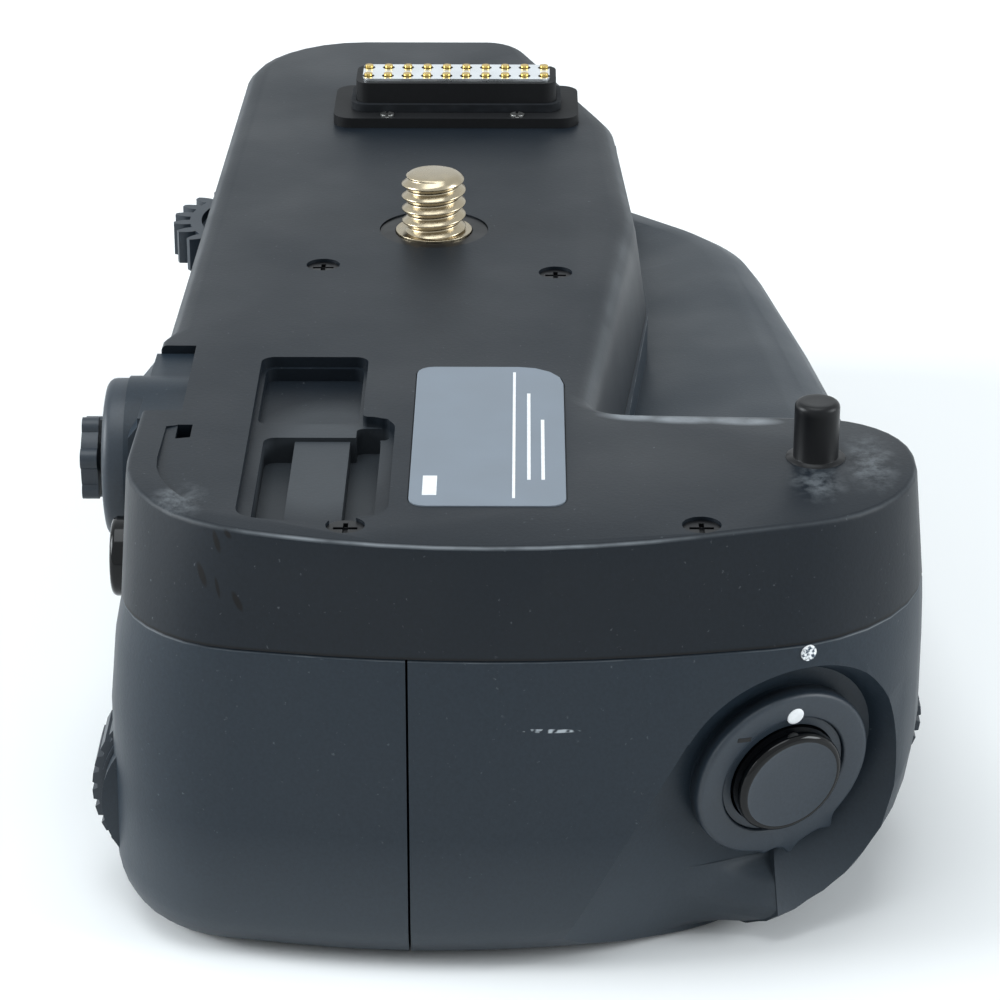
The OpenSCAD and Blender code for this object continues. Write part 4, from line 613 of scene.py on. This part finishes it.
class GRIP_OT_shutter(bpy.types.Operator):
    """Turns the shutter button, dresses the lock ring and prints its index marks"""

    bl_idname = "grip.shutter"
    bl_label = "Shutter release"

    def execute(self, context):
        s = sizes()
        at, axes = shutter_frame()
        r, top = s.button_d / MM / 2, s.button_top / MM
        rim = 0.5
        low = STEM_FOOT
        profile = [[0, low], [1.5, low], [1.5, -3.5], [r, -3.5]]
        profile += arc(r - rim, top - rim, rim, 0, 100, 12)
        profile += [[r - 0.7, top - 0.04], [r - 1.0, top - 0.1], [r * 0.5, top - 0.24], [0, top - 0.28]]
        button = revolved("shutter_button_turned", profile, at, axes, "black_gloss", "shutter", ["shutter_button"])
        button.data.materials.append(finish_of("control_plastic"))
        mids = np.zeros(len(button.data.polygons) * 3)
        button.data.polygons.foreach_get("center", mids)
        local = (mids.reshape(-1, 3) - at) @ axes.T / MM
        face = (np.hypot(local[:, 0], local[:, 1]) < r - 0.6) & (local[:, 2] > top - 1)
        button.data.polygons.foreach_set("material_index", face.astype(np.int32))
        self.ring(at, axes)
        self.blend(at, axes)
        mark_r, h = 6.15 * MM, s.ring_h
        a = math.radians(178)
        dot("ring_dot", at + axes.T @ (mark_r * math.cos(a), mark_r * math.sin(a), h), axes[2], s.dot_d, "lock")
        dot("shell_dot", np.array(SHELL_DOT_MM) * MM, SHELL_DOT_NORMAL, s.dot_d * 0.92, "housing", "worn_ink")
        self.tick(at, axes, h)
        return {"FINISHED"}

    def ring(self, at, axes):
        """The ring's outer radius is a circle plus bumps round the angle: two horns of the lever, the web
        between them and a small stop. Its section runs from the bore out under the ring, up the side,
        over a rounded edge and in along the top, which falls towards the horns' tips."""
        h, low = sizes().ring_h / MM, 0.15
        a = np.linspace(-180, 180, 480, endpoint=False)[None, :]

        out = RING_R_MM + sum(
            height * np.exp(-(np.abs((a - deg) / half) ** power)) for deg, half, height, power in RING_BUMPS
        )
        bore = RING_BORE_MM
        turn = np.radians(np.linspace(0, 90, 6))[:, None]
        fall = h - 0.4 * np.clip((out - RING_R_MM) / 1.6, 0, 1)
        edge_r = out - 0.45 + 0.45 * np.cos(turn)
        edge_h = fall - 0.45 + 0.45 * np.sin(turn)
        rows_r = [bore + 0 * out, out, *edge_r, np.minimum(out - 0.8, 7.2 + 0 * out), bore + 0.25 + 0 * out]
        rows_h = [low + 0 * out, low + 0 * out, *edge_h, h + 0 * out, h + 0 * out]
        inner = bore + 0.25 - 0.25 * np.sin(turn)
        inner_h = h - 0.25 + 0.25 * np.cos(turn)
        radius = np.concatenate([np.atleast_2d(x) for x in rows_r] + [inner + 0 * out])
        height = np.concatenate([np.atleast_2d(x) for x in rows_h] + [inner_h + 0 * out])
        radius = np.concatenate([radius, radius[:1]])
        height = np.concatenate([height, height[:1]])
        t = np.radians(a)
        local = np.stack([radius * np.cos(t), radius * np.sin(t), height], -1) * MM
        points = (at + local @ axes).reshape(-1, 3)
        put("lock_ring_shaped", points, quads(*radius.shape), "control_plastic", "lock", ["lock_ring"])

    def tick(self, at, axes, h):
        """A short stroke between two places on the ring's face: a strip along the line that joins them, raised
        a little."""
        (x0, y0), (x1, y1) = (arc(0, 0, radius, deg, deg, 1)[0] for radius, deg in TICK_ENDS)
        half, lift = 0.2, 0.03
        out = unit((x1 - x0, y1 - y0, 0))
        side = np.array([-out[1], out[0], 0])
        u, v, w = (g.ravel()[:, None] for g in np.meshgrid((0, 1), (-1, 1), (-1, 1), indexing="ij"))
        ends = np.array([x0, y0, h / MM]) + u * np.array([x1 - x0, y1 - y0, 0])
        local = ends + v * half * side + w * lift * np.array([0, 0, 1])
        faces = [(0, 1, 3, 2), (4, 6, 7, 5), (0, 4, 5, 1), (2, 3, 7, 6), (0, 2, 6, 4), (1, 5, 7, 3)]
        put("ring_tick", at + local * MM @ axes, faces, "black_gloss", "lock", smooth=False)

    def blend(self, at, axes):
        """Fills the corner between the facet and its right wall: a height over a grid of distances along
        and across the channel, which rises from the facet to the wall's edge with the square of the
        distance across, and falls to nothing round the ring."""
        level, across = np.meshgrid(np.linspace(8.4, 15.7, 41), np.linspace(-3.1, 5.95, 41), indexing="ij")
        along = level - FOOT_SLOPE * (across - 5.9)
        wall = np.interp(level, *np.array(WALL_EDGE).T)
        share = np.clip((across + 3) / 8.9, 0, 1)
        clear = np.clip((np.hypot(along, across) - 9.95) / 1.6, 0, 1)
        top = FACET_H_MM - 0.02 + np.clip(wall + 0.6, 0, None) * share**2 * clear**2 * (3 - 2 * clear)
        turn = math.radians(CHANNEL_TURN)
        down = across * math.sin(turn) + along * math.cos(turn)
        side = across * math.cos(turn) - along * math.sin(turn)
        under = np.full_like(top, FACET_H_MM - 0.3)
        skin = np.stack([np.stack([down, side, h], -1) for h in (top, under)])
        rows, cols = top.shape
        grid = quads(rows, cols, wrap=False)
        loop = np.concatenate(
            [
                np.arange(cols),
                np.arange(1, rows) * cols + cols - 1,
                (rows - 1) * cols + np.arange(cols - 2, -1, -1),
                np.arange(rows - 2, 0, -1) * cols,
            ]
        )
        after = np.roll(loop, -1)
        wall_faces = np.stack([loop, after, after + rows * cols, loop + rows * cols], -1)
        faces = np.concatenate([grid, grid + rows * cols, wall_faces])
        put("facet_blend", at + skin.reshape(-1, 3) * MM @ axes, faces, "shell_plastic", "housing")


class GRIP_OT_plate(bpy.types.Operator):
    """Turns the guide pin, cuts the mounting screw's thread and prints the label"""

    bl_idname = "grip.plate"
    bl_label = "Plate"

    def execute(self, context):
        self.pin()
        self.screw()
        self.label()
        return {"FINISHED"}

    def pin(self):
        low, high = (np.array(v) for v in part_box("guide_pin"))
        mid = (low + high) / 2
        neck = (high[0] - low[0]) / MM / 2
        r, h, foot = neck - NECK_MM, (high[2] - low[2]) / MM, (PLATE_TOP_MM + 0.1) - low[2] / MM
        up = axes_of((0, 0, 1), (1, 0, 0))
        base = np.array([mid[0], mid[1], low[2]])
        profile = [[0, 0], [neck, 0], [neck, foot], [r + 0.02, foot + 0.02], [r, foot + 0.06], [r, h - 0.9]]
        profile += arc(r - 0.55, h - 0.55, 0.55, 5, 85) + [[r - 0.9, h - 0.02], [0, h]]
        revolved("guide_pin_turned", profile, base, up, "black_steel", "housing", ["guide_pin"], 64)

    def screw(self):
        """The thread's radius falls from the crest by its depth along a rounded vee, whose phase is the
        height in pitches less the turn, and closes in a domed end."""
        s = sizes()
        low, high = (np.array(v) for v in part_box("mounting_screw"))
        at = JOINTS["screw_spin"]["pos_m"]
        dressed("mounting_screw", 0.05 * MM, below=(PLATE_TOP_MM + 0.05) * MM)
        z = np.linspace(PLATE_TOP_MM * MM, high[2], 96)[:, None]
        t = np.linspace(0, 2 * np.pi, 64, endpoint=False)[None, :]
        phase = (z / s.thread_pitch - t / (2 * np.pi)) % 1.0
        vee = np.clip(np.abs(phase - 0.5) * 2.4 - 0.1, 0, 1)
        crest = SCREW_R_MM * MM
        depth = SCREW_DOME_MM * MM
        end = np.clip((high[2] - z) / depth, 0, 1)
        dome = crest - depth * (1 - np.sqrt(1 - (1 - end) ** 2))
        radius = np.minimum(crest - s.thread_depth * (1 - vee), dome)
        pts = np.stack([at[0] + radius * np.cos(t), at[1] + radius * np.sin(t), z + 0 * t], -1)
        rows, cols = pts.shape[:2]
        caps = np.array([[at[0], at[1], z[0, 0]], [at[0], at[1], z[-1, 0]]])
        i = np.arange(cols)
        j = (i + 1) % cols
        foot = np.stack([j, i, np.full(cols, rows * cols)], -1)
        tip = np.stack([i, j, np.full(cols, rows * cols + 1)], -1) + [[(rows - 1) * cols] * 2 + [0]]
        faces = quads(rows, cols).tolist() + foot.tolist() + tip.tolist()
        pts = np.concatenate([pts.reshape(-1, 3), caps])
        put("mounting_screw_thread", pts, faces, "nickel", "screw", ["mounting_screw"])

    def label(self):
        """Prints a divider, a small block and two plain bars on the label."""
        dressed("label_plate", 0.06 * MM)
        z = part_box("label_plate")[1][2] / MM
        for name, low, high in (
            ("label_divider", (-60.8, 0.55), (-33.0, 0.8)),
            ("label_block", (-60.2, 7.1), (-56.2, 8.3)),
            ("label_bar_1", (-57.0, -0.75), (-38.0, -0.45)),
            ("label_bar_2", (-57.0, -1.95), (-44.0, -1.65)),
        ):
            bar(name, (*low, z - 0.05), (*high, z + 0.02), "ink", "housing")


class GRIP_OT_studio(bpy.types.Operator):
    """Sets the floor, the soft lights and the camera"""

    bl_idname = "grip.studio"
    bl_label = "Studio"

    def execute(self, context):
        scene = context.scene
        scene.view_settings.view_transform = "Standard"
        self.floor(scene)
        self.world(scene)
        for name, place, size, power in (
            ("overhead softbox", (-0.1, 0.1, 1.1), 0.8, 6.5),
            ("left softbox", (-0.05, 0.95, 0.4), 0.5, 9.5),
            ("right softbox", (-0.2, -1.0, 0.4), 0.5, 7.0),
        ):
            self.lamp(scene, name, np.array(place), size, power)
        aim_camera(scene)
        return {"FINISHED"}

    def floor(self, scene):
        reach = 6.0
        mesh = bpy.data.meshes.new("floor")
        corners = [(x * reach, y * reach, 0) for x, y in ((-1, -1), (1, -1), (1, 1), (-1, 1))]
        mesh.from_pydata(corners, [], [(0, 1, 2, 3)])
        floor = bpy.data.objects.new("floor", mesh)
        scene.collection.objects.link(floor)
        mat, tree, shader, coords = fresh("Matt white paper")
        shader.inputs["Base Color"].default_value = colours().floor
        shader.inputs["Roughness"].default_value = 0.9
        shader.inputs["Specular IOR Level"].default_value = 0.1
        mesh.materials.append(mat)

    def world(self, scene):
        world = bpy.data.worlds.new("studio")
        scene.world = world
        world.use_nodes = True
        tree = world.node_tree
        back = tree.nodes["Background"]
        path = add(tree, "ShaderNodeLightPath").outputs
        seen = joined(tree, [path["Is Camera Ray"], path["Is Glossy Ray"], path["Is Transmission Ray"]])
        tree.links.new(ramp(tree, seen, 0, 1, 0.4, 1.0), back.inputs["Strength"])
        back.inputs["Color"].default_value = (*COOL, 1)

    def lamp(self, scene, name, place, size, power):
        light = bpy.data.lights.new(name, "AREA")
        light.size = size
        light.energy = power
        light.color = COOL
        obj = bpy.data.objects.new(name, light)
        z = unit(place - np.array([0, 0, 0.02]))
        x = unit(np.cross((0, 1, 0.1), z))
        obj.matrix_world = placed(x, np.cross(z, x), z, place)
        scene.collection.objects.link(obj)


def placed(x, y, z, at):
    """The matrix with these axes and this place."""
    m = np.eye(4)
    m[:3, 0], m[:3, 1], m[:3, 2], m[:3, 3] = x, y, z, at
    return Matrix(m.tolist())


def aim_camera(scene):
    dip, turn = math.radians(VIEW_DIP), math.radians(VIEW_TURN)
    ahead = np.array([math.cos(turn) * math.cos(dip), math.sin(turn) * math.cos(dip), -math.sin(dip)])
    right = np.array([math.sin(turn), -math.cos(turn), 0])
    data = bpy.data.cameras.new("photo view")
    data.sensor_width = 36
    data.lens = FOCAL_PX / FRAME_PX * data.sensor_width
    data.clip_start = 0.01
    camera = bpy.data.objects.new("photo view", data)
    camera.matrix_world = placed(right, np.cross(right, ahead), -ahead, np.array(CAMERA_MM) * MM)
    scene.collection.objects.link(camera)
    scene.camera = camera


class GRIP_PT_panel(bpy.types.Panel):
    """Lists the grip's operators"""

    bl_idname = "GRIP_PT_panel"
    bl_label = "Battery grip"
    bl_space_type = "VIEW_3D"
    bl_region_type = "UI"
    bl_category = "Grip"

    def draw(self, context):
        for op in OPERATORS:
            self.layout.operator(op.bl_idname)


OPERATORS = (GRIP_OT_housing, GRIP_OT_controls, GRIP_OT_shutter, GRIP_OT_plate, GRIP_OT_studio)
CLASSES = (GripSizes, GripColours, *OPERATORS, GRIP_PT_panel)


def register():
    for c in CLASSES:
        bpy.utils.register_class(c)
    bpy.types.Scene.grip_sizes = bpy.props.PointerProperty(type=GripSizes)
    bpy.types.Scene.grip_colours = bpy.props.PointerProperty(type=GripColours)


def unregister():
    del bpy.types.Scene.grip_colours
    del bpy.types.Scene.grip_sizes
    for c in reversed(CLASSES):
        bpy.utils.unregister_class(c)


def main():
    register()
    bpy.ops.grip.housing()
    bpy.ops.grip.controls()
    bpy.ops.grip.shutter()
    bpy.ops.grip.plate()
    bpy.ops.grip.studio()


if __name__ == "__main__":
    main()
